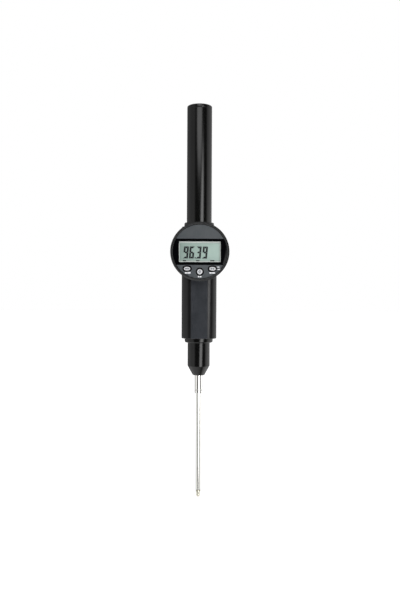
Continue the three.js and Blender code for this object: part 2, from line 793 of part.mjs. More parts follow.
function keyCap(key) {
  const front = plateFrontY - keyProud;
  const flangeFront = plateRearY + seatGap;
  const flangeRear = flangeFront + keyFlangeThickness;
  const plunger = cylinderY(keyPlungerDiameter / 2, flangeRear - weld, flangeRear + keyPlungerLength,
    facetsTiny, key.x, key.z);
  const flange = keyPlate(key, keyFlangeRim, flangeFront, flangeRear);
  return mesh(key.name, shaped(keyPlate(key, 0, front, flangeRear - weld), [flange, plunger], []), keyGrey);
}

function keypadMat() {
  const rear = boardFrontY - seatGap;
  const front = rear - matThickness;
  const plungerRear = plateRearY + seatGap + keyFlangeThickness + keyPlungerLength;
  const domeFront = plungerRear + keyTravel + matClearance;
  const halfWidth = ovalKeyX + matDomeDiameter / 2 + matRim;
  const top = ovalKeyZ + matDomeDiameter / 2;
  const lowSides = ovalKeyZ - matDomeDiameter / 2;
  const low = roundKeyZ - matDomeDiameter / 2 - matRim / 2;
  const step = matDomeDiameter / 2 + matRim;
  const corners = [[-halfWidth, top], [-halfWidth, lowSides], [-step, low], [step, low],
    [halfWidth, lowSides], [halfWidth, top]];
  const outline = new THREE.Shape(corners.map(([x, z]) => new THREE.Vector2(x, z)));
  const domes = keys().map((key) =>
    cylinderY(matDomeDiameter / 2, domeFront, rear - weld, facetsTiny, key.x, key.z));
  return mesh("keypad_mat", shaped(plateXZ(outline, front, rear), domes, []), rubber);
}

function sensorBracket() {
  const flangeHalf = bracketFlangeWidth / 2;
  const flangeHeight = bracketHalfHeight + bracketFlangeRim;
  const openWidth = bracketHalfWidth - bracketWall;
  const openHeight = bracketHalfHeight - bracketWall;
  const flange = box(-flangeHalf, flangeHalf, bracketFlangeFrontY, bracketFlangeRearY,
    -flangeHeight, flangeHeight);
  const neck = box(-bracketHalfWidth, bracketHalfWidth, bracketFlangeRearY - weld, bracketRearY,
    -bracketHalfHeight, bracketHalfHeight);
  const opening = box(-openWidth, openWidth, bracketFlangeFrontY - past,
    bracketRearY - bracketEndPlate, -openHeight, openHeight);
  const flexSlot = box(-flexWidth / 2 - seatGap, flexWidth / 2 + seatGap, bracketFlangeFrontY,
    bracketRearY + past, flexSensorZ - flexSlotHeight / 2, flexSensorZ + flexSlotHeight / 2);
  const cuts = [opening, flexSlot];
  for (const x of [-bracketScrewX, bracketScrewX]) {
    const radius = bracketScrew.thread / 2 + closeGap;
    cuts.push(cylinderY(radius, bracketFlangeFrontY - past, bracketFlangeRearY + past, facetsTiny, x));
  }
  return mesh("sensor_bracket", shaped(flange, [neck], cuts), blackPlastic);
}

function sensorBoard() {
  const half = sensorWidth / 2;
  const geometry = box(-half, half, sensorFrontY, sensorRearY, -sensorLength / 2, sensorLength / 2);
  return mesh("sensor_board", geometry, boardGreen);
}

// A flat cable from the sensor to the main board, with one bend down and one up.
function sensorFlex() {
  const rear = sensorFrontY - seatGap;
  const front = boardRearY + seatGap;
  const middle = (rear + front) / 2;
  const half = flexThickness / 2;
  const path = [[rear, flexSensorZ], [middle + 2, flexSensorZ], [middle - 2, flexBoardZ],
    [front, flexBoardZ]];
  const upper = path.map(([y, z]) => new THREE.Vector2(-y, z + half));
  const lower = path.map(([y, z]) => new THREE.Vector2(-y, z - half)).reverse();
  const outline = new THREE.Shape([...upper, ...lower]);
  const ribbon = new THREE.ExtrudeGeometry(outline, { depth: flexWidth, bevelEnabled: false });
  const basis = new THREE.Matrix4().makeBasis(
    new THREE.Vector3(0, -1, 0), new THREE.Vector3(0, 0, 1), new THREE.Vector3(-1, 0, 0));
  ribbon.applyMatrix4(basis).translate(flexWidth / 2, 0, 0);
  return mesh("sensor_flex", ribbon, flexAmber);
}

function headScrews() {
  const seat = caseInnerBackY - seatGap;
  const thread = -bodyBoreRadius - closeGap - seat;
  const pieces = [];
  for (const [side, x] of [["left", -headScrewX], ["right", headScrewX]]) {
    for (const [level, z] of [["lower", -headScrewZ], ["upper", headScrewZ]]) {
      pieces.push(screwAlongY(`head_screw_${level}_${side}`, headScrew, thread, x, seat, z, true));
    }
  }
  return pieces;
}

function pairOfScrews(name, size, thread, x, seat, z) {
  return [["left", -x], ["right", x]].map(([side, place]) =>
    screwAlongY(`${name}_${side}`, size, thread, place, seat, z, true));
}

// Battery and its cap. The cap turns about the cup's axis.
function batteryParts() {
  const radius = batteryDiameter / 2;
  const stripRear = batteryFrontY - (batteryBehindBoard - contactStripThickness) / 2;
  const cell = cylinderY(radius, batteryFrontY, batteryRearY, facetsMedium, batteryX);
  const strip = cylinderY(contactStripDiameter / 2, stripRear - contactStripThickness, stripRear,
    facetsSmall, batteryX);
  return [mesh("battery", cell, polishedSteel), mesh("battery_contact", strip, bronze)];
}

function batteryCapParts() {
  const flangeFront = cupRearY + seatGap;
  const flangeRear = flangeFront + batteryCapFlange;
  const plugFront = flangeFront - batteryCapPlug;
  const sealRadius = batteryCupRadius - closeGap;
  const plug = sealRadius - sealWidth - closeGap;
  const flange = batteryCupRadius + cupWall;
  const profile = [[0, plugFront], [plug, plugFront], [plug, flangeFront], [flange, flangeFront],
    [flange, flangeRear], [0, flangeRear]];
  const slot = box(-coinSlotLength / 2, coinSlotLength / 2, flangeRear - coinSlotDepth,
    flangeRear + past, -coinSlotWidth / 2, coinSlotWidth / 2);
  const cap = shaped(turnedY(profile, facetsMedium), [], [slot]);
  const sealFront = flangeFront - closeGap - sealThickness;
  const ring = plainRing(sealRadius - sealWidth, sealRadius, sealFront, sealFront + sealThickness);
  const pieces = [mesh("battery_cap", cap, blackPlastic),
    mesh("battery_seal", turnedY(ring, facetsMedium), rubber)];
  for (const piece of pieces) piece.position.x = batteryX;
  return pieces;
}

// Back lug.
function lugScrewPlaces() {
  const middle = (bodyBottomZ + bodyTopZ) / 2;
  return [middle - lugScrewSpacing / 2, middle + lugScrewSpacing / 2];
}

function lugPlate() {
  const middle = (bodyBottomZ + bodyTopZ) / 2;
  const plate = box(-lugPlateWidth / 2, lugPlateWidth / 2, lugPlateFrontY, lugPlateRearY,
    middle - lugPlateHeight / 2, middle + lugPlateHeight / 2);
  const web = box(-lugThickness / 2, lugThickness / 2, lugPlateRearY - weld, lugHoleY,
    middle - lugHeight / 2, middle + lugHeight / 2);
  const round = cylinderX(lugHeight / 2, -lugThickness / 2, lugThickness / 2, facetsMedium,
    lugHoleY, middle);
  const cuts = [cylinderX(lugHoleRadius, -lugThickness, lugThickness, facetsSmall, lugHoleY, middle)];
  for (const z of lugScrewPlaces()) {
    const seat = lugPlateRearY - lugScrew.headHeight - seatGap;
    cuts.push(cylinderY(lugScrew.thread / 2 + seatGap, lugPlateFrontY - past, lugPlateRearY + past,
      facetsTiny, 0, z));
    cuts.push(cylinderY(lugScrew.head / 2 + seatGap, seat, lugPlateRearY + past, facetsTiny, 0, z));
  }
  return mesh("lug_plate", shaped(plate, [web, round], cuts), blackAnodised);
}

function lugScrews() {
  const seat = lugPlateRearY - lugScrew.headHeight;
  const thread = seat - bodyBoreRadius - closeGap;
  const places = lugScrewPlaces();
  return ["lug_screw_lower", "lug_screw_upper"].map((name, i) =>
    screwAlongY(name, lugScrew, thread, 0, seat, places[i], false));
}

// The spindle and everything that slides with it.
function spindle() {
  const bore = tipThreadDiameter / 2 + closeGap;
  const profile = [
    [0, spindleBottomZ + tipThreadLength + seatGap],
    [bore, spindleBottomZ + tipThreadLength + seatGap],
    [bore, spindleBottomZ],
    [spindleRadius - spindleEndChamfer, spindleBottomZ],
    [spindleRadius, spindleBottomZ + spindleEndChamfer],
    [spindleRadius, carrierTopZ],
    [springPegDiameter / 2, carrierTopZ],
    [springPegDiameter / 2, springPegTopZ],
    [0, springPegTopZ],
  ];
  return mesh("spindle", turnedZ(profile, facetsSmall), polishedSteel);
}

function contactPoint() {
  const seatRadius = contactBallDiameter / 2 + ballSeatGap;
  const rim = seatRadius + contactRimWall;
  const top = spindleBottomZ - seatGap;
  const baseBottom = spindleBottomZ - contactBaseLength;
  const profile = [
    [0, ballCentreZ],
    [rim, ballCentreZ],
    [contactNeckDiameter / 2, baseBottom - contactNeckStraight],
    [contactNeckDiameter / 2, baseBottom],
    [spindleRadius, baseBottom],
    [spindleRadius, top],
    [tipThreadDiameter / 2, top],
    [tipThreadDiameter / 2, spindleBottomZ + tipThreadLength],
    [0, spindleBottomZ + tipThreadLength],
  ];
  const pocket = new THREE.SphereGeometry(seatRadius, facetsSmall, facetsTiny);
  pocket.rotateX(Math.PI / 2).translate(0, 0, ballCentreZ);
  return mesh("contact_point", shaped(turnedZ(profile, facetsSmall), [], [pocket]), polishedSteel);
}

function contactBall() {
  const ball = new THREE.SphereGeometry(contactBallDiameter / 2, facetsSmall, facetsTiny);
  return mesh("contact_ball", ball.rotateX(Math.PI / 2).translate(0, 0, ballCentreZ), carbide);
}

function clampScrewPlaces() {
  return [carrierBottomZ + carrierEndBlock / 2, carrierTopZ - carrierEndBlock / 2];
}

function scaleCarrier() {
  const half = carrierWidth / 2;
  const bar = box(-half, half, -carrierBarFront, carrierBarThickness - carrierBarFront,
    carrierBottomZ, carrierTopZ);
  const spans = [
    [carrierBottomZ, carrierBottomZ + carrierEndBlock],
    [guidePinZ - carrierGuideBlock / 2, guidePinZ + carrierGuideBlock / 2],
    [carrierTopZ - carrierEndBlock, carrierTopZ],
  ];
  const blocks = spans.map(([low, high]) =>
    box(-carrierBlockHalf, carrierBlockHalf, -carrierBarFront, carrierBlockHalf, low, high));
  const pinHole = guidePinDiameter / 2 + closeGap;
  const cuts = [
    cylinderZ(spindleRadius + closeGap, carrierBottomZ - past, carrierTopZ + past, facetsSmall),
    cylinderY(pinHole, carrierBlockHalf - guidePinInBlock - seatGap, carrierBlockHalf + past,
      facetsTiny, 0, guidePinZ),
  ];
  for (const z of clampScrewPlaces()) {
    cuts.push(cylinderX(clampScrewDiameter / 2 + closeGap, spindleRadius / 2,
      carrierBlockHalf + past, facetsTiny, 0, z));
  }
  return mesh("scale_carrier", shaped(bar, blocks, cuts), aluminium);
}

function scaleStrip() {
  const half = scaleWidth / 2;
  const strip = box(-half, half, scaleFrontY, scaleFrontY + scaleThickness, scaleBottomZ, scaleTopZ);
  return mesh("scale_strip", strip, boardGreen);
}

function clampScrews() {
  const outer = carrierBlockHalf - clampScrewSunk;
  const names = ["clamp_screw_lower", "clamp_screw_upper"];
  return clampScrewPlaces().map((z, i) => {
    const rod = cylinderX(clampScrewDiameter / 2, outer - clampScrewLength, outer, facetsTiny, 0, z);
    const socket = cylinderX(clampScrewSocket / 2, outer - clampScrewSocketDepth, outer + past, 6, 0, z);
    return mesh(names[i], shaped(rod, [], [socket]), darkSteel);
  });
}

function guidePin() {
  const front = carrierBlockHalf - guidePinInBlock;
  const rear = railFront + railSlotDepth - seatGap;
  const pin = cylinderY(guidePinDiameter / 2, front, rear, facetsTiny, 0, guidePinZ);
  return mesh("guide_pin", pin, polishedSteel);
}

function springSeat() {
  const bore = springPegDiameter / 2 + closeGap;
  const pilotTop = springSeatTopZ + springPilotLength;
  const outer = [
    [springSeatRadius, springSeatBottomZ],
    [springSeatRadius, springSeatTopZ],
    [springPilotRadius, springSeatTopZ],
    [springPilotRadius, pilotTop],
  ];
  const profile = ringProfile(outer, [[bore, pilotTop], [bore, springSeatBottomZ]]);
  return mesh("spring_seat", turnedZ(profile, facetsSmall), aluminium);
}

// The return spring: a round wire along a helix from the seat up to the cap.
class Helix extends THREE.Curve {
  constructor(radius, low, high, turns) {
    super();
    Object.assign(this, { radius, low, high, turns });
  }

  getPoint(t, target = new THREE.Vector3()) {
    const angle = 2 * Math.PI * this.turns * t;
    const z = this.low + (this.high - this.low) * t;
    return target.set(this.radius * Math.cos(angle), this.radius * Math.sin(angle), z);
  }
}

function returnSpring() {
  const wire = springWire / 2;
  const low = springSeatTopZ + seatGap + wire;
  const high = capSpigotBottomZ - seatGap - wire;
  const path = new Helix(springRadius, low, high, springTurns);
  const section = new THREE.EllipseCurve(0, 0, wire, wire).getPoints(springWireFacets);
  const outline = new THREE.Shape(section.slice(0, springWireFacets));
  const steps = springTurns * springStepsPerTurn;
  const geometry = new THREE.ExtrudeGeometry(outline, { steps, extrudePath: path, bevelEnabled: false });
  return mesh("return_spring", geometry, polishedSteel);
}

function headGroup() {
  const group = new THREE.Group();
  group.position.z = headCentreZ;
  group.add(headCase(), bezelRing(), facePlate(), windowLens());
  group.add(mesh("lcd_glass", lcdBox(lcdBorder, lcdFrontY, lcdRearY), liquidCrystal));
  group.add(displayFrame(), zebraStrip("zebra_strip_upper", 1), zebraStrip("zebra_strip_lower", -1));
  group.add(mainBoard(), controllerChip(), keypadMat(), ...keys().map(keyCap));
  group.add(sensorBracket(), sensorBoard(), sensorFlex(), ...headScrews());
  group.add(...pairOfScrews("board_screw", boardScrew, caseInnerBackY - 2 * seatGap - boardFrontY,
    boardScrewX, boardFrontY - seatGap, boardScrewZ));
  group.add(...pairOfScrews("bracket_screw", bracketScrew, headBackY - bracketFlangeFrontY,
    bracketScrewX, bracketFlangeFrontY - seatGap, 0));
  group.add(...batteryParts(), ...batteryCapParts());
  return group;
}

function spindleGroup() {
  const group = new THREE.Group();
  group.add(spindle(), contactPoint(), contactBall(), scaleCarrier(), scaleStrip());
  group.add(...clampScrews(), guidePin(), springSeat());
  return group;
}

const indicator = new THREE.Group();
indicator.add(bodyHousing(), lowerCollar(), upperCollar(), noseSleeve(), guardTube(), tubeCap());
indicator.add(stopRod(), upperBumper(), lowerBumper(), ...stemParts(), guideRail(), ...railScrews());
indicator.add(lugPlate(), ...lugScrews(), returnSpring(), headGroup(), spindleGroup());

export default indicator;
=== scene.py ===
"""Looks of a long-travel digital dial indicator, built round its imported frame.

The display faces -Y, +Z runs up the spindle, and the origin is on the spindle's axis at the middle
of the exposed stem. Lengths named here in millimetres are turned into metres where they are used.
"""
import math

import bmesh
import bpy
import numpy as np
from mathutils import Euler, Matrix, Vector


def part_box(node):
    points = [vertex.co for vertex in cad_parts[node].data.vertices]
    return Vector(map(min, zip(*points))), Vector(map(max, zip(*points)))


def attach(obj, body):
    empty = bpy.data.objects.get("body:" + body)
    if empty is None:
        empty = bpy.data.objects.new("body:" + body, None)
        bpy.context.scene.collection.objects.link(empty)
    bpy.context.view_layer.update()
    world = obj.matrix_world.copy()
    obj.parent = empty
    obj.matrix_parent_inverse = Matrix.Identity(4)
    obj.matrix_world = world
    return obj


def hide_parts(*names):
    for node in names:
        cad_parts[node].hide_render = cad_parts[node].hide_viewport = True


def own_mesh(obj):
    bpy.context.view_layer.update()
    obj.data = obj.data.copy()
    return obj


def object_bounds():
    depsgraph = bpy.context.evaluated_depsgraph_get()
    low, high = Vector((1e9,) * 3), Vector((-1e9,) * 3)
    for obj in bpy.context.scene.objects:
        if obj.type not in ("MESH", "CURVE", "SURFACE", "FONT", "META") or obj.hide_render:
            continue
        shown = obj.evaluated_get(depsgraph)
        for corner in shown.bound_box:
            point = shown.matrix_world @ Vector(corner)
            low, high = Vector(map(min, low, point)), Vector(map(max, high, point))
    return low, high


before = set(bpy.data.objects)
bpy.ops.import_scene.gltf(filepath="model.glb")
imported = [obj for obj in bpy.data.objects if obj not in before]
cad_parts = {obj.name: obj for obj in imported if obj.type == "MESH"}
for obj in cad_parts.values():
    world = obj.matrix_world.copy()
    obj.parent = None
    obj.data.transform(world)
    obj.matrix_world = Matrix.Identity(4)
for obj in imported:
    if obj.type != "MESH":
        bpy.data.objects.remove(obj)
cad_box = [list(corner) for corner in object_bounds()]

MM = 0.001
X, Y, Z = 0, 1, 2

# Camera: level with a height a little above the stem, slightly left of the front, a touch rolled.
CAMERA_DISTANCE = 600 * MM
CAMERA_HEIGHT = 104.6 * MM
CAMERA_AZIMUTH = math.radians(-1.4)
CAMERA_ROLL = math.radians(0.25)
CAMERA_LENS = 34.3
CAMERA_SHIFT = (0.00175, -0.0267)

# Roundings, in millimetres.
SMALL_EDGE = 0.15
TUBE_SEAM = 0.25

# Facets round the head, a turned piece, the tip and a small hole, and steps along a profile's arc
# and over a slab's rim.
HEAD_ROUND = 192
ROUND = 128
FINE_ROUND = 64
SMALL_ROUND = 24
ARC_STEPS = 5
RIM_STEPS = 3

SHARP = math.radians(32)  # faces that meet at more than this keep a crisp edge


# ---------------------------------------------------------------- places taken from the frame

def corners(node):
    """A node's lowest and highest corners as two arrays, in millimetres."""
    low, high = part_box(node)
    return np.array(low) / MM, np.array(high) / MM


def middle(node):
    """The middle of a node's box, in millimetres."""
    low, high = corners(node)
    return (low + high) / 2


def spot(node):
    """Where a node's middle lies across the face, as x and z in millimetres."""
    return middle(node)[[X, Z]]


# ---------------------------------------------------------------- surfaces

def rounded_line(points, radii, closed):
    """A broken line with its corners turned into arcs, and how near each point is to an arc's middle.

    The arc leaves the line at radius / tan(half the corner's angle) on each side and is the rational
    quadratic whose middle weight is the sine of that half angle, which is part of a circle.
    """
    points = np.asarray(points, float)
    count = len(points)
    line, marks = [], []
    for i, (corner, radius) in enumerate(zip(points, radii)):
        at_end = not closed and i in (0, count - 1)
        if at_end or radius <= 0:
            line.append(corner[None])
            marks.append(np.zeros(1))
            continue
        before, after = points[i - 1] - corner, points[(i + 1) % count] - corner
        length_before, length_after = np.linalg.norm(before), np.linalg.norm(after)
        before, after = before / length_before, after / length_after
        half = np.arccos(np.clip(before @ after, -1, 1)) / 2
        reach = min(radius / np.tan(half), 0.49 * length_before, 0.49 * length_after)
        share = np.linspace(0, 1, ARC_STEPS + 1)[:, None]
        weights = (1 - share) ** 2, 2 * share * (1 - share) * np.sin(half), share**2
        arc = weights[0] * (corner + reach * before) + weights[1] * corner
        arc = (arc + weights[2] * (corner + reach * after)) / sum(weights)
        line.append(arc)
        marks.append(np.sin(np.pi * share[:, 0]))
    return np.concatenate(line), np.concatenate(marks)


def to_axes(across, beside, along, axis):
    """Points given across, beside and along an axis, as x, y, z in metres."""
    order = {X: (along, across, beside), Y: (across, along, beside), Z: (across, beside, along)}
    return np.stack(order[axis], axis=-1) * MM


def level_loop(loop, height, axis):
    """A flat loop of points set at a height along an axis."""
    return to_axes(loop[:, 0], loop[:, 1], 0 * loop[:, 0] + height, axis)


def skin(name, grid, marks, wrap_rows=False):
    """A closed surface over a grid of points: columns always meet, rows meet if they wrap."""
    rows, columns = grid.shape[:2]
    index = np.arange(rows * columns).reshape(rows, columns)
    low = index if wrap_rows else index[:-1]
    high = np.roll(index, -1, axis=0) if wrap_rows else index[1:]
    quads = np.stack([low, np.roll(low, -1, axis=1), np.roll(high, -1, axis=1), high], axis=-1)
    mesh = bpy.data.meshes.new(name)
    mesh.from_pydata(grid.reshape(-1, 3).tolist(), [], quads.reshape(-1, 4).tolist())
    edge = mesh.attributes.new("edge", "FLOAT", "POINT")
    edge.data.foreach_set("value", np.broadcast_to(marks, (rows, columns)).astype("f").ravel())
    piece = bpy.data.objects.new(name, mesh)
    bpy.context.scene.collection.objects.link(piece)
    close_and_shade(piece)
    return piece


def shade(piece):
    """Smooth shading that keeps the crisp edges."""
    piece.data.shade_smooth()
    piece.data.set_sharp_from_angle(angle=SHARP)


def close_and_shade(piece):
    """Merges doubled points at poles and seams, and turns the faces outwards."""
    work = bmesh.new()
    work.from_mesh(piece.data)
    bmesh.ops.remove_doubles(work, verts=work.verts, dist=1e-7)
    bmesh.ops.dissolve_degenerate(work, edges=work.edges, dist=1e-8)
    bmesh.ops.recalc_face_normals(work, faces=work.faces)
    work.to_mesh(piece.data)
    work.free()
    shade(piece)


def turned(name, profile, axis=Z, centre=(0, 0), closed=False, columns=ROUND):
    """A profile of radius, place and rounding turned about an axis.

    At angle a a point lies at centre + radius * (cos a, sin a). A solid's profile starts and ends
    on the axis, and a ring's is closed.
    """
    profile = np.array(profile, float)
    line, marks = rounded_line(profile[:, :2], profile[:, 2], closed)
    angle = np.linspace(0, 2 * np.pi, columns, endpoint=False)
    radius, place = line[:, :1], line[:, 1:]
    across = centre[0] + radius * np.cos(angle)
    beside = centre[1] + radius * np.sin(angle)
    grid = to_axes(across, beside, place + 0 * angle, axis)
    return skin(name, grid, marks[:, None], wrap_rows=closed)


def plain_hole(radius, centre, low, high, columns=SMALL_ROUND):
    """A straight round plug along Y, used as a cutter or a post."""
    return turned("hole", [(0, low, 0), (radius, low, 0), (radius, high, 0), (0, high, 0)],
                  axis=Y, centre=centre, columns=columns)


def ring(name, outer, bore, **options):
    """A turned ring: its outer profile, then its bore's run back."""
    return turned(name, [*outer, *bore], closed=True, **options)


def stacked(name, outline, levels, axis=Y):
    """Closed outlines set one above another along an axis, and closed at both ends.

    outline(margin) gives the loop of points that lies margin outside the nominal one. A level is
    margin, height and edge mark. The ends are drawn together to the loop's middle.
    """
    loops = [level_loop(outline(margin), height, axis) for margin, height, _ in levels]
    marks = [0, *(mark for _, _, mark in levels), 0]
    first, last = loops[0], loops[-1]
    loops = [0 * first + first.mean(0), *loops, 0 * last + last.mean(0)]
    return skin(name, np.stack(loops), np.array(marks)[:, None])


def through(name, outline, low, high, axis=Y):
    """A straight bar of one outline from low to high."""
    return stacked(name, outline, [(0, low, 0), (0, high, 0)], axis)


def bevelled(low, high, bevel):
    """Levels of a slab from low to high whose two rims are quarter rounds of the bevel's size."""
    share = np.linspace(0, np.pi / 2, RIM_STEPS + 1)
    rise, draw = bevel * (1 - np.cos(share)), bevel * (1 - np.sin(share))
    marks = np.sin(2 * share)
    lower = [(-d, low + r, m) for d, r, m in zip(draw, rise, marks)]
    upper = [(-d, high - r, m) for d, r, m in zip(draw, rise, marks)]
    return lower + upper[::-1]


def ellipse(centre, half, power=2.0):
    """A superellipse: |x / a| to the power plus |z / b| to the power is one."""
    angle = np.linspace(0, 2 * np.pi, FINE_ROUND, endpoint=False)

    def outline(margin):
        cos, sin = np.cos(angle), np.sin(angle)
        across = np.sign(cos) * np.abs(cos) ** (2 / power) * (half[0] + margin)
        beside = np.sign(sin) * np.abs(sin) ** (2 / power) * (half[1] + margin)
        return np.stack([centre[0] + across, centre[1] + beside], axis=-1)

    return outline


def soft_box(centre, half, radius, columns=8):
    """A rectangle with quarter-circle corners; columns is the steps round each corner."""
    turn = np.linspace(0, np.pi / 2, columns + 1)

    def outline(margin):
        corner = max(radius + margin, 1e-3)
        sides = []
        for quarter, (sx, sz) in enumerate([(1, 1), (-1, 1), (-1, -1), (1, -1)]):
            angle = turn + quarter * np.pi / 2
            x = centre[0] + sx * (half[0] + margin - corner) + corner * np.cos(angle)
            z = centre[1] + sz * (half[1] + margin - corner) + corner * np.sin(angle)
            sides.append(np.stack([x, z], axis=-1))
        return np.concatenate(sides)

    return outline


def polygon(points):
    """A convex polygon moved outwards by the margin along each corner's bisector."""
    points = np.asarray(points, float)

    def outline(margin):
        before = points - np.roll(points, 1, axis=0)
        after = np.roll(points, -1, axis=0) - points
        before /= np.linalg.norm(before, axis=1)[:, None]
        after /= np.linalg.norm(after, axis=1)[:, None]
        normal_before = np.stack([before[:, 1], -before[:, 0]], axis=-1)
        normal_after = np.stack([after[:, 1], -after[:, 0]], axis=-1)
        both = normal_before + normal_after
        return points + margin * 2 * both / (both * both).sum(1)[:, None]

    return outline


def combine(piece, others, operation="DIFFERENCE"):
    """Cuts others from the piece, joins them to it or keeps what they share, and removes them."""
    for other in others:
        step = piece.modifiers.new(operation.lower(), "BOOLEAN")
        step.operation = operation
        step.solver = "EXACT"
        step.object = other
        bpy.context.view_layer.objects.active = piece
        bpy.ops.object.modifier_apply(modifier=step.name)
        bpy.data.objects.remove(other, do_unlink=True)
    shade(piece)
    return piece


def merge(name, parts):
    """Several pieces made into one mesh that keeps their separate solids."""
    with bpy.context.temp_override(active_object=parts[0], selected_editable_objects=parts):
        bpy.ops.object.join()
    parts[0].name = name
    return parts[0]


def fit(piece, material, body, *nodes):
    """Gives the piece its material, its body and the CAD nodes that it stands for."""
    piece.data.materials.clear()
    piece.data.materials.append(material)
    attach(piece, body)
    if nodes:
        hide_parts(*nodes)
    return piece


# ---------------------------------------------------------------- node groups shared by materials

def feed(tree, socket, value):
    """Links an output to the socket, or sets the socket's own value."""
    if isinstance(value, bpy.types.NodeSocket):
        tree.links.new(value, socket)
    else:
        socket.default_value = value


def connect(tree, node, **values):
    """Feeds a node's sockets by name, with _ for a space, or by number, as _0."""
    for key, value in values.items():
        label = int(key[1:]) if key[1:].isdigit() else key.replace("_", " ")
        feed(tree, node.inputs[label], value)
    return node


def new_group(name, inputs, outputs):
    """An empty shader group with named float, colour or vector sockets."""
    group = bpy.data.node_groups.new(name, "ShaderNodeTree")
    for label, kind, value in inputs:
        socket = group.interface.new_socket(label, in_out="INPUT", socket_type="NodeSocket" + kind)
        socket.default_value = value
    for label, kind in outputs:
        group.interface.new_socket(label, in_out="OUTPUT", socket_type="NodeSocket" + kind)
    inside, outside = group.nodes.new("NodeGroupInput"), group.nodes.new("NodeGroupOutput")
    return group, inside.outputs, outside


def add(tree, kind, settings=None, **inputs):
    """A node with its settings made and its inputs set or linked."""
    node = tree.nodes.new("ShaderNode" + kind)
    for key, value in (settings or {}).items():
        setattr(node, key, value)
    return connect(tree, node, **inputs)


def math_node(tree, operation, first, second=0.0, third=None, clamp=False):
    """One sum on two or three numbers."""
    settings = {"operation": operation, "use_clamp": clamp}
    more = {} if third is None else {"_2": third}
    return add(tree, "Math", settings, _0=first, _1=second, **more).outputs[0]


def mix_colour(tree, factor, first, second):
    """first * (1 - factor) + second * factor."""
    return add(tree, "Mix", {"data_type": "RGBA"}, _0=factor, _6=first, _7=second).outputs[2]


def object_place(tree):
    """The point's place on the piece itself, in metres."""
    return add(tree, "TexCoord").outputs["Object"]


def noise(tree, place, scale, detail, roughness=0.5):
    """Fractal noise from 0 to 1."""
    return add(tree, "TexNoise", Vector=place, Scale=scale, Detail=detail,
               Roughness=roughness).outputs["Fac"]


def make_grain_group():
    """Fine blasted or moulded grain: one noise as height, and a slow cloud for patchiness."""
    group, inside, outside = new_group(
        "fine_grain",
        [("Scale", "Float", 2500.0), ("Depth", "Float", 0.00002), ("Cloud Scale", "Float", 60.0)],
        [("Normal", "Vector"), ("Grain", "Float"), ("Cloud", "Float")])
    place = object_place(group)
    fine = noise(group, place, inside["Scale"], 3.0, 0.6)
    bump = add(group, "Bump", Height=fine, Distance=inside["Depth"], Strength=1.0).outputs[0]
    cloud = noise(group, place, inside["Cloud Scale"], 4.0, 0.55)
    connect(group, outside, Normal=bump, Grain=fine, Cloud=cloud)
    return group


def make_lathe_group():
    """Turning marks: noise that changes quickly along the axis and hardly round it."""
    group, inside, outside = new_group(
        "lathe_marks",
        [("Along", "Float", 9000.0), ("Around", "Float", 60.0), ("Depth", "Float", 0.000004)],
        [("Normal", "Vector"), ("Marks", "Float")])
    around = inside["Around"]
    stretch = add(group, "CombineXYZ", X=around, Y=around, Z=inside["Along"]).outputs[0]
    scaled = add(group, "VectorMath", {"operation": "MULTIPLY"}, _0=object_place(group), _1=stretch)
    marks = noise(group, scaled.outputs[0], 1.0, 3.0, 0.65)
    bump = add(group, "Bump", Height=marks, Distance=inside["Depth"], Strength=1.0).outputs[0]
    connect(group, outside, Normal=bump, Marks=marks)
    return group


def make_wear_group():
    """Worn rims: the piece's own edge mark, broken up by noise, between two colours."""
    group, inside, outside = new_group(
        "worn_edges",
        [("Colour", "Color", (0.02, 0.02, 0.02, 1)), ("Worn", "Color", (0.3, 0.3, 0.3, 1)),
         ("Amount", "Float", 0.5), ("Scale", "Float", 400.0)],
        [("Colour", "Color")])
    edge = add(group, "Attribute", {"attribute_name": "edge"}).outputs["Fac"]
    patches = add(group, "MapRange", Value=noise(group, object_place(group), inside["Scale"], 4.0),
                  From_Min=0.35, From_Max=0.7).outputs[0]
    mask = math_node(group, "MULTIPLY", edge, patches)
    mask = math_node(group, "MULTIPLY", mask, inside["Amount"], clamp=True)
    connect(group, outside, Colour=mix_colour(group, mask, inside["Colour"], inside["Worn"]))
    return group


GRAIN = make_grain_group()
LATHE = make_lathe_group()
WEAR = make_wear_group()


def grouped(tree, group, **inputs):
    """A shared group's outputs, with its inputs set or linked."""
    node = tree.nodes.new("ShaderNodeGroup")
    node.node_tree = group
    return connect(tree, node, **inputs).outputs


def new_material(name, slot, **sockets):
    """A Principled material with its uniform values set on its own sockets."""
    material = bpy.data.materials.new(name)
    material.use_nodes = True
    tree = material.node_tree
    return material, tree, connect(tree, tree.nodes["Principled BSDF"], **sockets)


def colour(red, green, blue):
    """A colour given as it looks, 0 to 255, turned into linear light."""
    look = np.array([red, green, blue]) / 255
    linear = np.where(look <= 0.04045, look / 12.92, ((look + 0.055) / 1.055) ** 2.4)
    return (*linear.tolist(), 1.0)


def dimmed(tint, share):
    """A colour whose red, green and blue are multiplied by the share."""
    return (*(share * np.array(tint[:3])).tolist(), 1.0)


def spread(tree, source, low, high):
    """A noise's usual 0.3 to 0.7 stretched over low to high."""
    return add(tree, "MapRange", Value=source, From_Min=0.3, From_Max=0.7,
               To_Min=low, To_Max=high).outputs[0]


def vary_colour(tree, source, first, second):
    """Drifts between two close colours with a slow cloud."""
    drift = add(tree, "MapRange", Value=source, From_Min=0.35, From_Max=0.65).outputs[0]
    return mix_colour(tree, drift, first, second)


def worn(tree, base, rubbed, amount):
    """The base colour, rubbed to another at the rims."""
    return grouped(tree, WEAR, Colour=base, Worn=rubbed, Amount=amount)["Colour"]


def behind_front(tree, node, start, end):
    """0 to 1 between two depths behind a node's front, in millimetres."""
    depth = add(tree, "SeparateXYZ", Vector=object_place(tree)).outputs["Y"]
    front = corners(node)[0][Y] * MM
    return add(tree, "MapRange", Value=depth, From_Min=front + start * MM,
               From_Max=front + end * MM).outputs[0]


# ---------------------------------------------------------------- materials

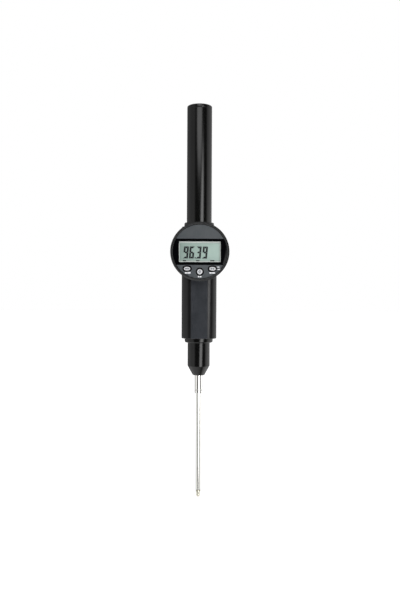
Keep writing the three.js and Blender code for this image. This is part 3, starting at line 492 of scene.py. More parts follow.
def finish(name, slot, grain, looks, rubbed=None, rough=None, rings=None, **sockets):
    """A material whose colour drifts between two looks with a slow cloud.

    grain is its scale, depth and cloud scale. rings, on a turned surface, is how close the lathe
    marks lie along and around, and their depth. rubbed is the rims' colour and its amount.
    Roughness runs from low to high with the rings, or else with the grain.
    """
    material, tree, shader = new_material(name, slot, **sockets)
    scale, depth, cloud_scale = grain
    fine = grouped(tree, GRAIN, Scale=scale, Depth=depth, Cloud_Scale=cloud_scale)
    relief, marks = fine["Normal"], fine["Grain"]
    base = vary_colour(tree, fine["Cloud"], *looks)
    if rubbed:
        base = worn(tree, base, *rubbed)
    connect(tree, shader, Base_Color=base)
    if rings:
        along, around, depth = rings
        lathe = grouped(tree, LATHE, Along=along, Around=around, Depth=depth)
        relief, marks = lathe["Normal"], lathe["Marks"]
    if rough:
        connect(tree, shader, Roughness=spread(tree, marks, *rough))
    if depth:
        connect(tree, shader, Normal=relief)
    return material


def anodised_milled():
    """Black anodising: blasted and matt on the front flat, smoother on the sides and corners."""
    material, tree, shader = new_material("anodised_milled", "black_anodised", Specular_IOR_Level=0.33)
    grain = grouped(tree, GRAIN, Scale=3800.0, Depth=0.000005, Cloud_Scale=70.0)
    blasted = behind_front(tree, "body_housing", 0.03, 0.005)
    smooth = vary_colour(tree, grain["Cloud"], colour(11, 11, 12), colour(16, 16, 17))
    matt = vary_colour(tree, grain["Cloud"], colour(24, 28, 34), colour(39, 42, 48))
    base = worn(tree, mix_colour(tree, blasted, smooth, matt), colour(110, 112, 114), 0.5)
    rough = math_node(tree, "MULTIPLY_ADD", blasted, 0.3, spread(tree, grain["Grain"], 0.27, 0.35))
    connect(tree, shader, Base_Color=base, Roughness=rough, Normal=grain["Normal"])
    return material


def face_paint():
    """Grey satin face. Whatever lies deeper than its front, such as the key wells, is painted black: the
    black keypad moulding round the keys, and painted shade in the wells and openings.
    """
    material, tree, shader = new_material("face_paint", "grey_plate", Specular_IOR_Level=0.35)
    grain = grouped(tree, GRAIN, Scale=4200.0, Depth=0.000005, Cloud_Scale=110.0)
    grey = vary_colour(tree, grain["Cloud"], colour(64, 69, 73), colour(72, 76, 79))
    # painted shade: below its front the face is painted black, for the black moulding round the keys and
    # the shade in the wells and openings
    well = behind_front(tree, "face_plate", 0.01, 0.04)
    base = mix_colour(tree, well, worn(tree, grey, colour(130, 133, 136), 0.35), colour(2, 2, 3))
    rough = math_node(tree, "MULTIPLY_ADD", well, -0.34, spread(tree, grain["Grain"], 0.46, 0.58))
    connect(tree, shader, Base_Color=base, Roughness=rough, Normal=grain["Normal"])
    return material


DISPLAY_BORDER = (1.7, 2.2)  # from the glass's side and top edges to the thin line, millimetres; also the width of the painted pale border


def display_glass():
    """Grey-green display with painted light: painted shade darkens it towards the left, a painted
    highlight makes a paler border, and a thin line lies inside it.
    """
    material, tree, shader = new_material("display_glass", "liquid_crystal", Roughness=0.42,
                                          Specular_IOR_Level=0.25)
    low, high = corners("lcd_glass")
    centre, half = (low + high) / 2, (high - low) / 2
    at = add(tree, "SeparateXYZ", Vector=object_place(tree)).outputs
    # painted shade: the field is darker on the left and lighter on the right, as the light falls
    side = add(tree, "MapRange", Value=at["X"], From_Min=-half[X] * MM, From_Max=half[X] * MM)
    field = mix_colour(tree, side.outputs[0], colour(134, 152, 144), colour(168, 190, 181))
    grain = grouped(tree, GRAIN, Scale=2500.0)["Grain"]
    field = mix_colour(tree, spread(tree, grain, 0.0, 0.35), field, colour(176, 198, 190))
    height = math_node(tree, "SUBTRACT", at["Z"], centre[Z] * MM)
    insides = [math_node(tree, "SUBTRACT", (half[way] - painted_light_border) * MM,
                         math_node(tree, "ABSOLUTE", place))
               for way, painted_light_border, place in ((X, DISPLAY_BORDER[0], at["X"]),
                                          (Z, DISPLAY_BORDER[1], height))]
    inside = math_node(tree, "MINIMUM", *insides)
    # painted highlight: a pale border round the field, lifting the shadow that the window's opening casts
    # on it
    painted_light_border = add(tree, "MapRange", Value=inside, From_Min=0.1 * MM, From_Max=-0.1 * MM)
    field = mix_colour(tree, painted_light_border.outputs[0], field, colour(222, 230, 224))
    near = math_node(tree, "ABSOLUTE", inside)
    line = add(tree, "MapRange", Value=near, From_Min=0.3 * MM, From_Max=0.1 * MM, To_Max=0.4)
    field = mix_colour(tree, line.outputs[0], field, colour(104, 122, 116))
    connect(tree, shader, Base_Color=field)
    return material


def moulded_plastic(name, slot, looks, depth, roughness, rim):
    """Moulded plastic with spark-eroded grain."""
    return finish(name, slot, (2600.0, depth, 90.0), looks, (colour(105, 107, 109), rim),
                  (roughness - 0.06, roughness + 0.06), Specular_IOR_Level=0.45)


def ink(name, slot, looks, roughness=0.45):
    """Printed or switched-on marks, with slight unevenness."""
    return finish(name, slot, (6000.0, 0.0, 700.0), looks, Roughness=roughness, Specular_IOR_Level=0.3)


def bright_steel(name, slot, tint, rough, along, depth):
    """Ground and polished steel: fine rings along the axis and slightly uneven gloss."""
    return finish(name, slot, (3000.0, 0.0, 140.0), (tint, dimmed(tint, 0.93)),
                  (colour(64, 61, 56), 1.6), rough, (along, 80.0, depth), Metallic=1.0)


def machined(name, slot, tint, roughness, depth=0.000004):
    """Plain machined or sintered metal with fine grain and rubbed rims."""
    return finish(name, slot, (3200.0, depth, 200.0), (tint, dimmed(tint, 0.8)),
                  (colour(200, 200, 198), 0.5), (roughness - 0.08, roughness + 0.08), Metallic=1.0)


def circuit_board():
    """Green solder mask over copper tracks: stretched cells show as slightly lighter runs."""
    material, tree, shader = new_material("circuit_board", "circuit_board", Roughness=0.35)
    cells = add(tree, "TexVoronoi", {"feature": "DISTANCE_TO_EDGE", "distance": "CHEBYCHEV"},
                Vector=object_place(tree), Scale=420.0)
    runs = add(tree, "MapRange", Value=cells.outputs["Distance"], From_Min=0.04,
               From_Max=0.12).outputs[0]
    base = mix_colour(tree, runs, colour(52, 128, 78), colour(26, 84, 48))
    bump = add(tree, "Bump", Height=runs, Distance=0.00003, Strength=0.5).outputs[0]
    connect(tree, shader, Base_Color=base, Normal=bump)
    return material


def scale_film():
    """The measuring scale: fine gold bars across a green strip, one millimetre apart."""
    material, tree, shader = new_material("scale_film", "circuit_board", Roughness=0.3)
    height = add(tree, "SeparateXYZ", Vector=object_place(tree)).outputs["Z"]
    phase = math_node(tree, "FRACT", math_node(tree, "MULTIPLY", height, 1000.0))
    bars = math_node(tree, "LESS_THAN", phase, 0.5)
    connect(tree, shader, Base_Color=mix_colour(tree, bars, colour(24, 74, 44), colour(188, 150, 74)))
    return material


# Soft long highlight, faint rings and rubbed rims.
TURNED = finish("anodised_turned", "black_anodised", (3000.0, 0.0, 35.0),
                (colour(7, 7, 7), colour(12, 12, 11)), (colour(70, 72, 74), 0.4), (0.15, 0.21),
                (7000.0, 40.0, 0.000002), Specular_IOR_Level=0.34)
MILLED = anodised_milled()
CASE = moulded_plastic("case_plastic", "black_plastic", (colour(34, 35, 36), colour(40, 41, 42)),
                       0.000012, 0.5, 0.3)
BEZEL = moulded_plastic("bezel_plastic", "black_plastic", (colour(23, 24, 25), colour(29, 30, 31)),
                        0.000002, 0.22, 0.05)
FACE = face_paint()
# Gloss black with the faintest waviness.
WINDOW = finish("window_gloss", "gloss_black_window", (90.0, 0.0000005, 50.0),
                (colour(2, 2, 4), colour(5, 5, 7)), (colour(40, 42, 46), 0.3),
                Specular_IOR_Level=0.22, Roughness=0.05)
DISPLAY = display_glass()
DIGIT_INK = ink("display_ink", "liquid_crystal", (colour(0, 7, 10), colour(3, 12, 16)))
LEGEND_INK = ink("legend_ink", "key_grey", (colour(214, 216, 220), colour(232, 233, 236)))
SYMBOL_INK = ink("symbol_ink", "key_grey", (colour(112, 116, 120), colour(128, 132, 136)))
KEY = moulded_plastic("key_plastic", "key_grey", (colour(206, 206, 209), colour(216, 216, 218)),
                      0.000003, 0.42, 0.2)
STEM = bright_steel("ground_stem", "polished_steel", colour(242, 241, 237), (0.08, 0.13), 9000.0,
                    0.0000006)
SPINDLE = bright_steel("ground_spindle", "polished_steel", colour(244, 244, 239), (0.08, 0.14),
                       12000.0, 0.0000005)
POINT = bright_steel("point_steel", "polished_steel", colour(246, 243, 226), (0.12, 0.2), 8000.0,
                     0.000001)
BALL = bright_steel("ball_carbide", "carbide", colour(214, 208, 194), (0.1, 0.18), 3000.0, 0.0000005)
SCREW = machined("screw_steel", "dark_steel", colour(74, 75, 77), 0.36)
INNER_STEEL = machined("inner_steel", "polished_steel", colour(202, 202, 198), 0.28)
BRONZE = machined("sintered_bronze", "bronze", colour(168, 128, 66), 0.45, depth=0.00001)
ALUMINIUM = machined("machined_aluminium", "aluminium", colour(190, 192, 194), 0.34)
# Matt, with a dusty bloom.
RUBBER = finish("soft_rubber", "rubber", (1800.0, 0.00001, 150.0),
                (colour(22, 22, 23), colour(40, 40, 41)), rough=(0.75, 0.9), Specular_IOR_Level=0.3)
BOARD = circuit_board()
SCALE = scale_film()
FLEX = ink("flex_film", "flex_cable", (colour(150, 84, 28), colour(172, 98, 36)), 0.3)


# ---------------------------------------------------------------- body, nose and tube

def body_housing():
    """The square block: soft-cornered outer walls and round bore are one ring-shaped grid, then cut."""
    low, high = corners("body_housing")
    half = high[X]
    outline = soft_box((0, 0), (half, half), BODY_CORNER, columns=20)
    rim = outline(0)
    angle = np.arctan2(rim[:, 1], rim[:, 0])
    bore = np.stack([BODY_BORE * np.cos(angle), BODY_BORE * np.sin(angle)], axis=-1)
    levels = bevelled(low[Z], high[Z], 0.45)
    walls = [level_loop(outline(margin), height, Z) for margin, height, _ in levels]
    loops = [level_loop(bore, low[Z], Z), *walls, level_loop(bore, high[Z], Z)]
    marks = [0, *(mark for _, _, mark in levels), 0]
    body = skin("body_block", np.stack(loops), np.array(marks)[:, None], wrap_rows=True)
    cutters = [through("window", soft_box((0, middle("sensor_bracket")[Z]), WINDOW_HALF, 1.0),
                       low[Y] - 2, low[Y] + half / 2)]
    for node in ("rail_screw_lower", "rail_screw_upper"):
        seat = corners(node)[1][Y] - RAIL_HEAD[1] - 0.3
        cutters.append(counterbore(middle(node)[Z], seat, high[Y], RAIL_HEAD[0] + 0.3, 1.3))
    for node in LUG_SCREWS:
        cutters.append(plain_hole(LUG_SCREW_HOLE, (0, middle(node)[Z]), BODY_BORE - 3, high[Y] + 1, 32))
    for node in HEAD_SCREWS:
        cutters.append(plain_hole(HEAD_SCREW_HOLE, spot(node), low[Y] - 1, low[Y] + 7))
    return fit(combine(body, cutters), MILLED, "casing", "body_housing")


def counterbore(at, seat, face, head, shank):
    """A cutter for a sunk screw: shank hole, head pocket and a small flare at the face."""
    return turned("counterbore", [
        (0, BODY_BORE - 3, 0), (shank, BODY_BORE - 3, 0), (shank, seat, 0), (head, seat, 0),
        (head, face - 0.25, 0), (head + 0.35, face + 0.1, 0), (head + 0.35, face + 1, 0),
        (0, face + 1, 0)], axis=Y, centre=(0, at), columns=48)


def top_collar():
    """The upper collar: a flange above the body, and a neck down into its bore."""
    low, high = corners("top_collar")
    flange = high[Z] - UPPER_FLANGE
    return fit(ring("top_clamp_collar", [
        (BODY_BORE - 0.3, low[Z], 0.2), (BODY_BORE - 0.3, flange, 0), (high[X], flange, SMALL_EDGE),
        (high[X], high[Z], 0.9)], [(TUBE_RADIUS + 0.12, high[Z], SMALL_EDGE),
                                   (TUBE_RADIUS + 0.12, low[Z], 0.1)]),
        TURNED, "casing", "top_collar")


def bottom_collar():
    """The lower collar, whose outside is turned in to a round bead at its foot."""
    low, high = corners("bottom_collar")
    flange = low[Z] + LOWER_FLANGE
    return fit(ring("bottom_clamp_collar", [
        (high[X] - 0.5, low[Z], 0.5), (high[X], low[Z] + 1.0, 0.8), (high[X], flange, SMALL_EDGE),
        (BODY_BORE - 0.3, flange, 0), (BODY_BORE - 0.3, high[Z], 0.2)],
        [(SLEEVE_RADIUS + 0.12, high[Z], 0.1), (SLEEVE_RADIUS + 0.12, low[Z], SMALL_EDGE)]),
        TURNED, "casing", "bottom_collar")


def nose_sleeve():
    """Straight sleeve, a crisp shoulder, the cone and its rounded small end."""
    low, high = corners("nose_sleeve")
    shoulder = low[Z] + CONE_LENGTH
    bore = SLEEVE_RADIUS - SLEEVE_WALL
    return fit(ring("nose_barrel", [
        (CONE_END, low[Z], 0.9), (CONE_END + 0.15, low[Z] + 0.5, 0.5),
        (SLEEVE_RADIUS, shoulder, 0.35), (SLEEVE_RADIUS, high[Z], 0.3)], [
        (bore, high[Z], 0.2), (bore, shoulder + 0.5, 0), (STEM_RADIUS + 0.1, shoulder + 0.5, 0),
        (STEM_RADIUS + 0.1, low[Z], 0.2)]),
        TURNED, "casing", "nose_sleeve")


def guard_tube():
    """A plain tube with a soft seam under its cap."""
    low, high = corners("guard_tube")
    bore = TUBE_RADIUS - TUBE_WALL
    return fit(ring("guard_barrel", [
        (TUBE_RADIUS, low[Z], 0.3), (TUBE_RADIUS, high[Z], TUBE_SEAM)],
        [(bore, high[Z], 0.2), (bore, low[Z], 0.3)]), TURNED, "casing", "guard_tube")


def tube_cap():
    """End cap: knife seam above the tube, rounded rim, spigot and two spanner holes."""
    low, high = corners("tube_cap")
    seam = corners("guard_tube")[1][Z] + 0.12
    spigot = TUBE_RADIUS - TUBE_WALL - 0.15
    hole = corners("stop_rod")[1][X] + 0.15
    blind = corners("stop_rod")[1][Z] + 0.3
    cap = turned("guard_cap", [
        (0, blind, 0), (hole, blind, 0), (hole, low[Z], 0.2), (spigot, low[Z], 0.3),
        (spigot, seam, 0), (TUBE_RADIUS, seam, TUBE_SEAM), (TUBE_RADIUS, high[Z], 0.5),
        (0, high[Z], 0)])
    holes = [turned("hole", [(0, high[Z] - 2, 0), (1, high[Z] - 2, 0), (1, high[Z] - 0.25, 0),
                                   (1.35, high[Z] + 0.1, 0), (1.35, high[Z] + 1, 0),
                                   (0, high[Z] + 1, 0)], centre=(x, 0), columns=32)
             for x in (-8, 8)]
    return fit(combine(cap, holes), TURNED, "casing", "tube_cap")


def stem():
    """Ground stem with its fine groove, softened end and inner flange."""
    low, high = corners("stem")
    groove = low[Z] + GROOVE_HEIGHT
    flange = high[Z] - STEM_FLANGE
    return fit(ring("clamp_stem", [
        (STEM_RADIUS, low[Z], 0.4), (STEM_RADIUS, groove - 0.55, 0.3),
        (STEM_RADIUS - 0.3, groove - 0.3, 0.3), (STEM_RADIUS - 0.3, groove + 0.3, 0.3),
        (STEM_RADIUS, groove + 0.55, 0.3), (STEM_RADIUS, flange, 0), (high[X], flange, 0.2),
        (high[X], high[Z], 0.2)], [(STEM_BORE, high[Z], 0.1), (STEM_BORE, low[Z], 0.1)]),
        STEM, "casing", "stem")


def return_spring():
    """Round wire on a helix: the wire's circle is carried square to the helix, ends drawn flat."""
    low, high = corners("return_spring")
    wire, turns = SPRING_WIRE, SPRING_TURNS
    radius = high[X] - wire
    share = np.linspace(0, 1, turns * 36 + 1)[:, None]
    height = low[Z] + wire + (high[Z] - low[Z] - 2 * wire) * share
    angle = 2 * np.pi * turns * share
    around = np.linspace(0, 2 * np.pi, 12, endpoint=False)[None, :]
    out = radius + wire * np.cos(around)
    grid = np.stack([out * np.cos(angle), out * np.sin(angle), height + wire * np.sin(around)], axis=-1)
    first, last = grid[:1], grid[-1:]
    grid = np.concatenate([0 * first + first.mean(1, keepdims=True), grid,
                           0 * last + last.mean(1, keepdims=True)])
    spring = fit(skin("spring_coil", grid * MM, np.zeros((1, 1))), INNER_STEEL, "casing", "return_spring")
    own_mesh(spring)
    return spring


# ---------------------------------------------------------------- spindle

def spindle():
    """Ground rod, bored for the point at its foot and turned down at its top."""
    low, high = corners("spindle")
    radius = high[X]
    shoulder = high[Z] - 3
    return fit(turned("spindle_rod", [
        (0, low[Z] + 5.3, 0), (1.4, low[Z] + 5.3, 0), (1.4, low[Z], 0.1), (radius, low[Z], 0.45),
        (radius, shoulder, 0.3), (1.5, shoulder, 0), (1.5, high[Z], 0.3), (0, high[Z], 0)],
        columns=FINE_ROUND), SPINDLE, "spindle", "spindle")


def contact_point():
    """Screw-in point: plain shank, knurl-free collar, tapered neck and a cupped seat."""
    high = corners("contact_point")[1]
    seam = corners("spindle")[0][Z]
    ball = middle("contact_ball")[Z]
    collar = high[X]
    seat = corners("contact_ball")[1][X] + 0.1
    point = turned("tip_holder", [
        (0, ball, 0), (seat + 0.22, ball, 0.1), (1.9, ball + 1.6, 0.8), (2.0, seam - 2.6, 0.2),
        (2.0, seam - 2.15, 0.1), (collar - 0.05, seam - 1.9, 0.12), (collar - 0.05, seam - 0.5, 0.3),
        (1.25, seam - 0.5, 0), (1.25, high[Z], 0.2), (0, high[Z], 0)], columns=FINE_ROUND)
    pocket = turned("pocket", [(0, ball - seat, 0), *arc_points(seat, ball), (0, ball + seat, 0)],
                          columns=FINE_ROUND)
    return fit(combine(point, [pocket]), POINT, "spindle", "contact_point")


def arc_points(radius, centre, steps=15):
    """Points of a half circle from just above its lowest point to just below its highest."""
    turn = np.linspace(-np.pi / 2, np.pi / 2, steps + 2)[1:-1]
    return [(radius * math.cos(t), centre + radius * math.sin(t), 0) for t in turn]


def contact_ball():
    """The ball: a half circle turned about the axis."""
    radius = corners("contact_ball")[1][X]
    centre = middle("contact_ball")[Z]
    return fit(turned("tip_ball", [
        (0, centre - radius, 0), *arc_points(radius, centre, 23), (0, centre + radius, 0)],
        columns=FINE_ROUND), BALL, "spindle", "contact_ball")


# ---------------------------------------------------------------- head

def head_case():
    """Moulded cup behind the bezel, with the battery's cup, board posts, window and screw holes."""
    low, high = corners("head_case")
    centre, back = HEAD_Z, HEAD_BACK
    radius = high[X]
    inner = radius - CASE_WALL
    floor = back - 2
    case = turned("head_shell", [
        (0, floor, 0), (inner, floor, 0.6), (inner, low[Y], 0.15), (radius, low[Y], 0.3),
        (radius, back, 1.6), (0, back, 0)], axis=Y, centre=(0, centre))
    cup_x = middle("battery_cap")[X]
    cup = corners("battery_cap")[1][X] - cup_x
    bore = corners("battery_seal")[1][X] - cup_x + 0.15
    joined = [turned("cup", [(0, back - 0.6, 0), (cup, back - 0.6, 0), (cup, high[Y], 0.3),
                                   (0, high[Y], 0)], axis=Y, centre=(cup_x, centre))]
    cuts = [plain_hole(bore, (cup_x, centre), floor - 1, high[Y] + 1, 96)]
    board = corners("main_board")[1][Y]
    for node in ("board_screw_left", "board_screw_right"):
        joined.append(plain_hole(2.2, spot(node), board + 0.3, back - 0.6, 32))
        cuts.append(plain_hole(1.05, spot(node), board, back - 1))
    for node in HEAD_SCREWS:
        cuts.append(plain_hole(HEAD_SCREW_HOLE, spot(node), floor - 1, back + 1))
    for node in ("bracket_screw_left", "bracket_screw_right"):
        cuts.append(plain_hole(1.0, spot(node), floor - 1, back + 1))
    cuts.append(through("window", soft_box((0, centre), WINDOW_HALF, 1.0), floor - 1, back + 1))
    combine(case, joined, "UNION")
    combine(case, cuts)
    return fit(case, CASE, "casing", "head_case")


def bezel_ring():
    """Bezel: rounded outer shoulder, flat crown, and a short slope down to the face."""
    low, high = corners("bezel_ring")
    radius, inner = high[X], high[X] - RING_WIDTH
    return fit(ring("bezel_hoop", [
        (radius - 1.5, low[Y], 0.6), (radius, low[Y] + 0.75, 0.45), (radius, high[Y], 0.25)],
        [(inner, high[Y], 0.1), (inner, low[Y] + 0.3, 0.1), (inner + 0.35, low[Y], 0.3)],
        axis=Y, centre=(0, HEAD_Z), columns=HEAD_ROUND), BEZEL, "casing", "bezel_ring")


def band_outline(reach):
    """The band across the face: flared a little at the front so its two long rims catch light."""
    front = corners("face_plate")[0][Y]
    top, bottom = HEAD_Z + BAND[1], HEAD_Z + BAND[0]
    return polygon([(front - 1, bottom - reach), (front, bottom - reach), (front + 0.2, bottom),
                    (front + CHANNEL, bottom), (front + CHANNEL, top), (front + 0.2, top),
                    (front, top + reach), (front - 1, top + reach)])


def face_plate():
    """Face disc with the window's channel, the display's opening and a stepped well for each key."""
    low, high = corners("face_plate")
    radius = high[X]
    rim = radius + FACE_REACH - 0.3
    face = turned("face_disc", [
        (0, low[Y], 0), (rim, low[Y], 0.1), (rim, low[Y] + 0.4, 0), (radius, low[Y] + 0.4, 0),
        (radius, high[Y], 0.1), (0, high[Y], 0)],
        axis=Y, centre=(0, HEAD_Z), columns=HEAD_ROUND)
    cutters = [through("band", band_outline(0.2), -radius - 4, radius + 4, axis=X)]
    glass_low, glass_high = corners("lcd_glass")
    half = (glass_high - glass_low) / 2
    view = soft_box((0, middle("lcd_glass")[Z]), (half[X] - 0.4, half[Z] - 0.4), 0.8)
    cutters.append(through("view", view, low[Y] - 1, high[Y] + 1))
    for outline, _ in KEYS.values():
        cutters.append(stacked("well", outline, [
            (RECESS + 0.18, low[Y] - 1, 0), (RECESS + 0.18, low[Y] - 0.01, 0),
            (RECESS, low[Y] + 0.15, 0), (RECESS - 0.1, low[Y] + 0.6, 0), (0.16, low[Y] + 0.6, 0),
            (0.16, high[Y] + 1, 0)]))
    combine(face, cutters)
    return fit(face, FACE, "casing", "face_plate")


def window_frame():
    """Gloss black window: the disc's band with softened rims and the clear opening in it."""
    low, high = corners("window_lens")
    radius = corners("face_plate")[1][X]
    window = turned("window_band", [
        (0, low[Y], 0), (radius, low[Y], 0.12), (radius, high[Y], 0), (0, high[Y], 0)],
        axis=Y, centre=(0, HEAD_Z), columns=HEAD_ROUND)
    top, bottom = HEAD_Z + BAND[1] - 0.1, HEAD_Z + BAND[0] + 0.1
    strip = through("strip", polygon([
        (low[Y] - 1, bottom + 0.12), (low[Y], bottom + 0.12), (low[Y] + 0.12, bottom),
        (high[Y] + 1, bottom), (high[Y] + 1, top), (low[Y] + 0.12, top), (low[Y], top - 0.12),
        (low[Y] - 1, top - 0.12)]), -radius - 4, radius + 4, axis=X)
    combine(window, [strip], "INTERSECT")
    outline = soft_box((0, middle("lcd_glass")[Z]), VIEW_HALF, 0.5)
    opening = stacked("opening", outline, [
        (0.12, low[Y] - 1, 0), (0.12, low[Y], 0), (0, low[Y] + 0.12, 0), (0, high[Y] + 1, 0)])
    combine(window, [opening])
    return fit(window, WINDOW, "casing", "window_lens")


def display():
    """The display cell, a slab with softened rims."""
    low, high = corners("lcd_glass")
    centre, half = (low + high) / 2, (high - low) / 2
    outline = soft_box((centre[X], centre[Z]), (half[X], half[Z]), 0.3)
    glass = stacked("display_cell", outline, bevelled(low[Y], high[Y], 0.12))
    return fit(glass, DISPLAY, "casing", "lcd_glass")


# Each bar's corners: column and row of the digit's node, then the step from it in half strokes.
SEGMENTS = {
    "top": ((0, 2, 1, -1), (1, 2, -1, -1), (1, 2, 1, 1), (0, 2, -1, 1)),
    "bottom": ((0, 0, -1, -1), (1, 0, 1, -1), (1, 0, -1, 1), (0, 0, 1, 1)),
    "middle": ((0, 1, 0, 0), (0, 1, 1, -1), (1, 1, -1, -1), (1, 1, 0, 0), (1, 1, -1, 1), (0, 1, 1, 1)),
    "upper_left": ((0, 1, 0, 0), (0, 1, 1, 1), (0, 2, 1, -1), (0, 2, -1, 1), (0, 1, -1, 0)),
    "upper_right": ((1, 1, 0, 0), (1, 1, 1, 0), (1, 2, 1, 1), (1, 2, -1, -1), (1, 1, -1, 1)),
    "lower_left": ((0, 0, -1, -1), (0, 0, 1, 1), (0, 1, 1, -1), (0, 1, 0, 0), (0, 1, -1, 0)),
    "lower_right": ((1, 0, 1, -1), (1, 1, 1, 0), (1, 1, 0, 0), (1, 1, -1, -1), (1, 0, -1, 1))}
DIGITS = {
    "9": ("top", "upper_left", "upper_right", "middle", "lower_right", "bottom"),
    "6": ("top", "upper_left", "middle", "lower_left", "lower_right", "bottom"),
    "3": ("top", "upper_right", "middle", "lower_right", "bottom")}


def segment_bar(name, foot, size, stroke):
    """One bar of a digit as x, z points: foot + node * size + step * stroke / 2, drawn in by 3 %."""
    table = np.array(SEGMENTS[name], float)
    bar = np.array(foot) + table[:, :2] * np.array(size) + table[:, 2:] * stroke / 2
    hub = bar.mean(axis=0)
    return hub + 0.97 * (bar - hub)


def display_marks():
    """The reading in slanted seven-bar digits, its point, and a row of small signs in three groups."""
    face = corners("lcd_glass")[0][Y]
    centre = middle("lcd_glass")[Z]
    width, stroke, slant = 3.1, 1.95, 0.085
    foot, rise = -5.7, 5.05
    low, high = -9.3, -8.15  # the row of small signs
    bars = []
    for digit, left in (("9", -15.3), ("6", -9.5), ("3", -2.6), ("9", 3.7)):
        for name in DIGITS[digit]:
            bars.append(segment_bar(name, (left, foot), (width, rise), stroke))
    bars.append(np.array([(-4.65, -6.55), (-3.5, -6.55), (-3.5, -5.4), (-4.65, -5.4)]))
    for left, blocks in ((-16.1, (1.2, 1.6)), (-3.0, (0.9, 1.1, 1.2)), (11.2, (1.3, 1.0, 1.5))):
        for length in blocks:
            bars.append(np.array([(left, low), (left + length, low), (left + length, high),
                                  (left, high)]))
            left += length + 0.12
    pieces = []
    for i, bar in enumerate(bars):
        leaning = bar + np.stack([slant * bar[:, 1], np.full(len(bar), centre)], axis=-1)
        back = face - 0.01
        pieces.append(through(f"bar_{i}", polygon(leaning), back - 0.05, back))
    return fit(merge("display_reading", pieces), DIGIT_INK, "casing")


def key(node):
    """A key cap: domed crown with a rounded rim, straight skirt, flange and plunger."""
    outline, half = KEYS[node]
    low, high = corners(node)
    dome = 0.28
    crown = []
    for share in (0.15, 0.35, 0.55, 0.75, 0.9):
        crown.append((-(1 - share) * half, low[Y] + dome * share**2, 0))
    rim = [(-0.2, low[Y] + dome * 0.95 + 0.02, 0.5), (-0.06, low[Y] + dome + 0.1, 1.0),
           (0, low[Y] + dome + 0.3, 0.3)]
    flange = high[Y] - 1.5
    skirt = [(0, flange - 0.8, 0), (0.7, flange - 0.8, 0), (0.7, flange, 0)]
    plunger_margin = -(half - 1.4)
    foot = [(plunger_margin, flange, 0), (plunger_margin, high[Y], 0)]
    cap = stacked(node + "_cap", outline, crown + rim + skirt + foot)
    return fit(cap, KEY, node, node)


LOZENGE = np.array([(0, -1), (1, 0), (0, 1), (-1, 0)])


def key_symbols():
    """A plain printed sign on each key: a split oval on the outer ones, four lozenges between."""
    for node in KEYS:
        front = corners(node)[0][Y]
        centre = spot(node)
        if node == "key_middle":
            places = [(0.95, 0), (-0.95, 0), (0, 0.95), (0, -0.95)]
            shapes = [polygon(centre + np.array(at) + 0.78 * LOZENGE) for at in places]
        else:
            places = [(-1.05, 0), (1.05, 0)]
            shapes = [ellipse(centre + np.array(at), (0.92, 0.85), 2.6) for at in places]
        pieces = [through(f"sign_{i}", shape, front - 0.01, front + 0.2)
                  for i, shape in enumerate(shapes)]
        fit(merge(node + "_sign", pieces), SYMBOL_INK, node)


def legends():
    """White printed marks beside the keys: plain bars in place of words."""
    front = corners("face_plate")[0][Y]
    bars = [(-13.6, -21.2, 1.1, 0.75), (-10.75, -21.2, 1.55, 0.75), (10.7, -21.2, 1.15, 0.75),
            (13.6, -21.2, 1.55, 0.75), (-1.1, -25.0, 0.75, 0.7), (0.85, -25.0, 0.85, 0.7),
            (18.3, -15.4, 1.2, 0.5), (18.9, -17.7, 1.35, 0.5), (17.0, -17.7, 0.25, 0.25)]
    pieces = [through(f"legend_{i}", soft_box((x, HEAD_Z + z), (w, h), 0.22),
                      front - 0.03, front + 0.02)
              for i, (x, z, w, h) in enumerate(bars)]
    return fit(merge("face_legends", pieces), LEGEND_INK, "casing")


# ---------------------------------------------------------------- back of the head and body

def battery_cap():
    """Coin-slot cap with a grip of shallow flutes round its flange."""
    low, high = corners("battery_cap")
    centre = middle("battery_cap")
    radius = high[X] - centre[X]
    flange = low[Y] + 1.2
    plug = 5.2
    steps = 96
    angle = np.linspace(0, 2 * np.pi, 4 * steps, endpoint=False)
    flute = 0.12 * (0.5 + 0.5 * np.cos(steps / 2 * angle))
    profile = [(0, low[Y], 0), (plug, low[Y], 0), (plug, flange, 0), (radius - 0.1, flange, 1),
               (radius, flange + 0.15, 1), (radius, high[Y] - 0.3, 1), (radius - 0.3, high[Y], 1),
               (0, high[Y], 0)]
    rows = []
    for r, place, fluted in profile:
        reach = r - flute * fluted
        rows.append(to_axes(centre[X] + reach * np.cos(angle), centre[Z] + reach * np.sin(angle),
                            0 * angle + place, Y))
    cap = skin("battery_lid", np.stack(rows), np.zeros((1, 1)))
    slot = stacked("slot", soft_box((centre[X], centre[Z]), (5.2, 0.75), 0.74),
                   [(0, high[Y] - 0.7, 0), (0, high[Y] - 0.15, 0), (0.2, high[Y] + 0.05, 0),
                    (0.2, high[Y] + 1, 0)])
    return fit(combine(cap, [slot]), CASE, "battery_cap", "battery_cap")


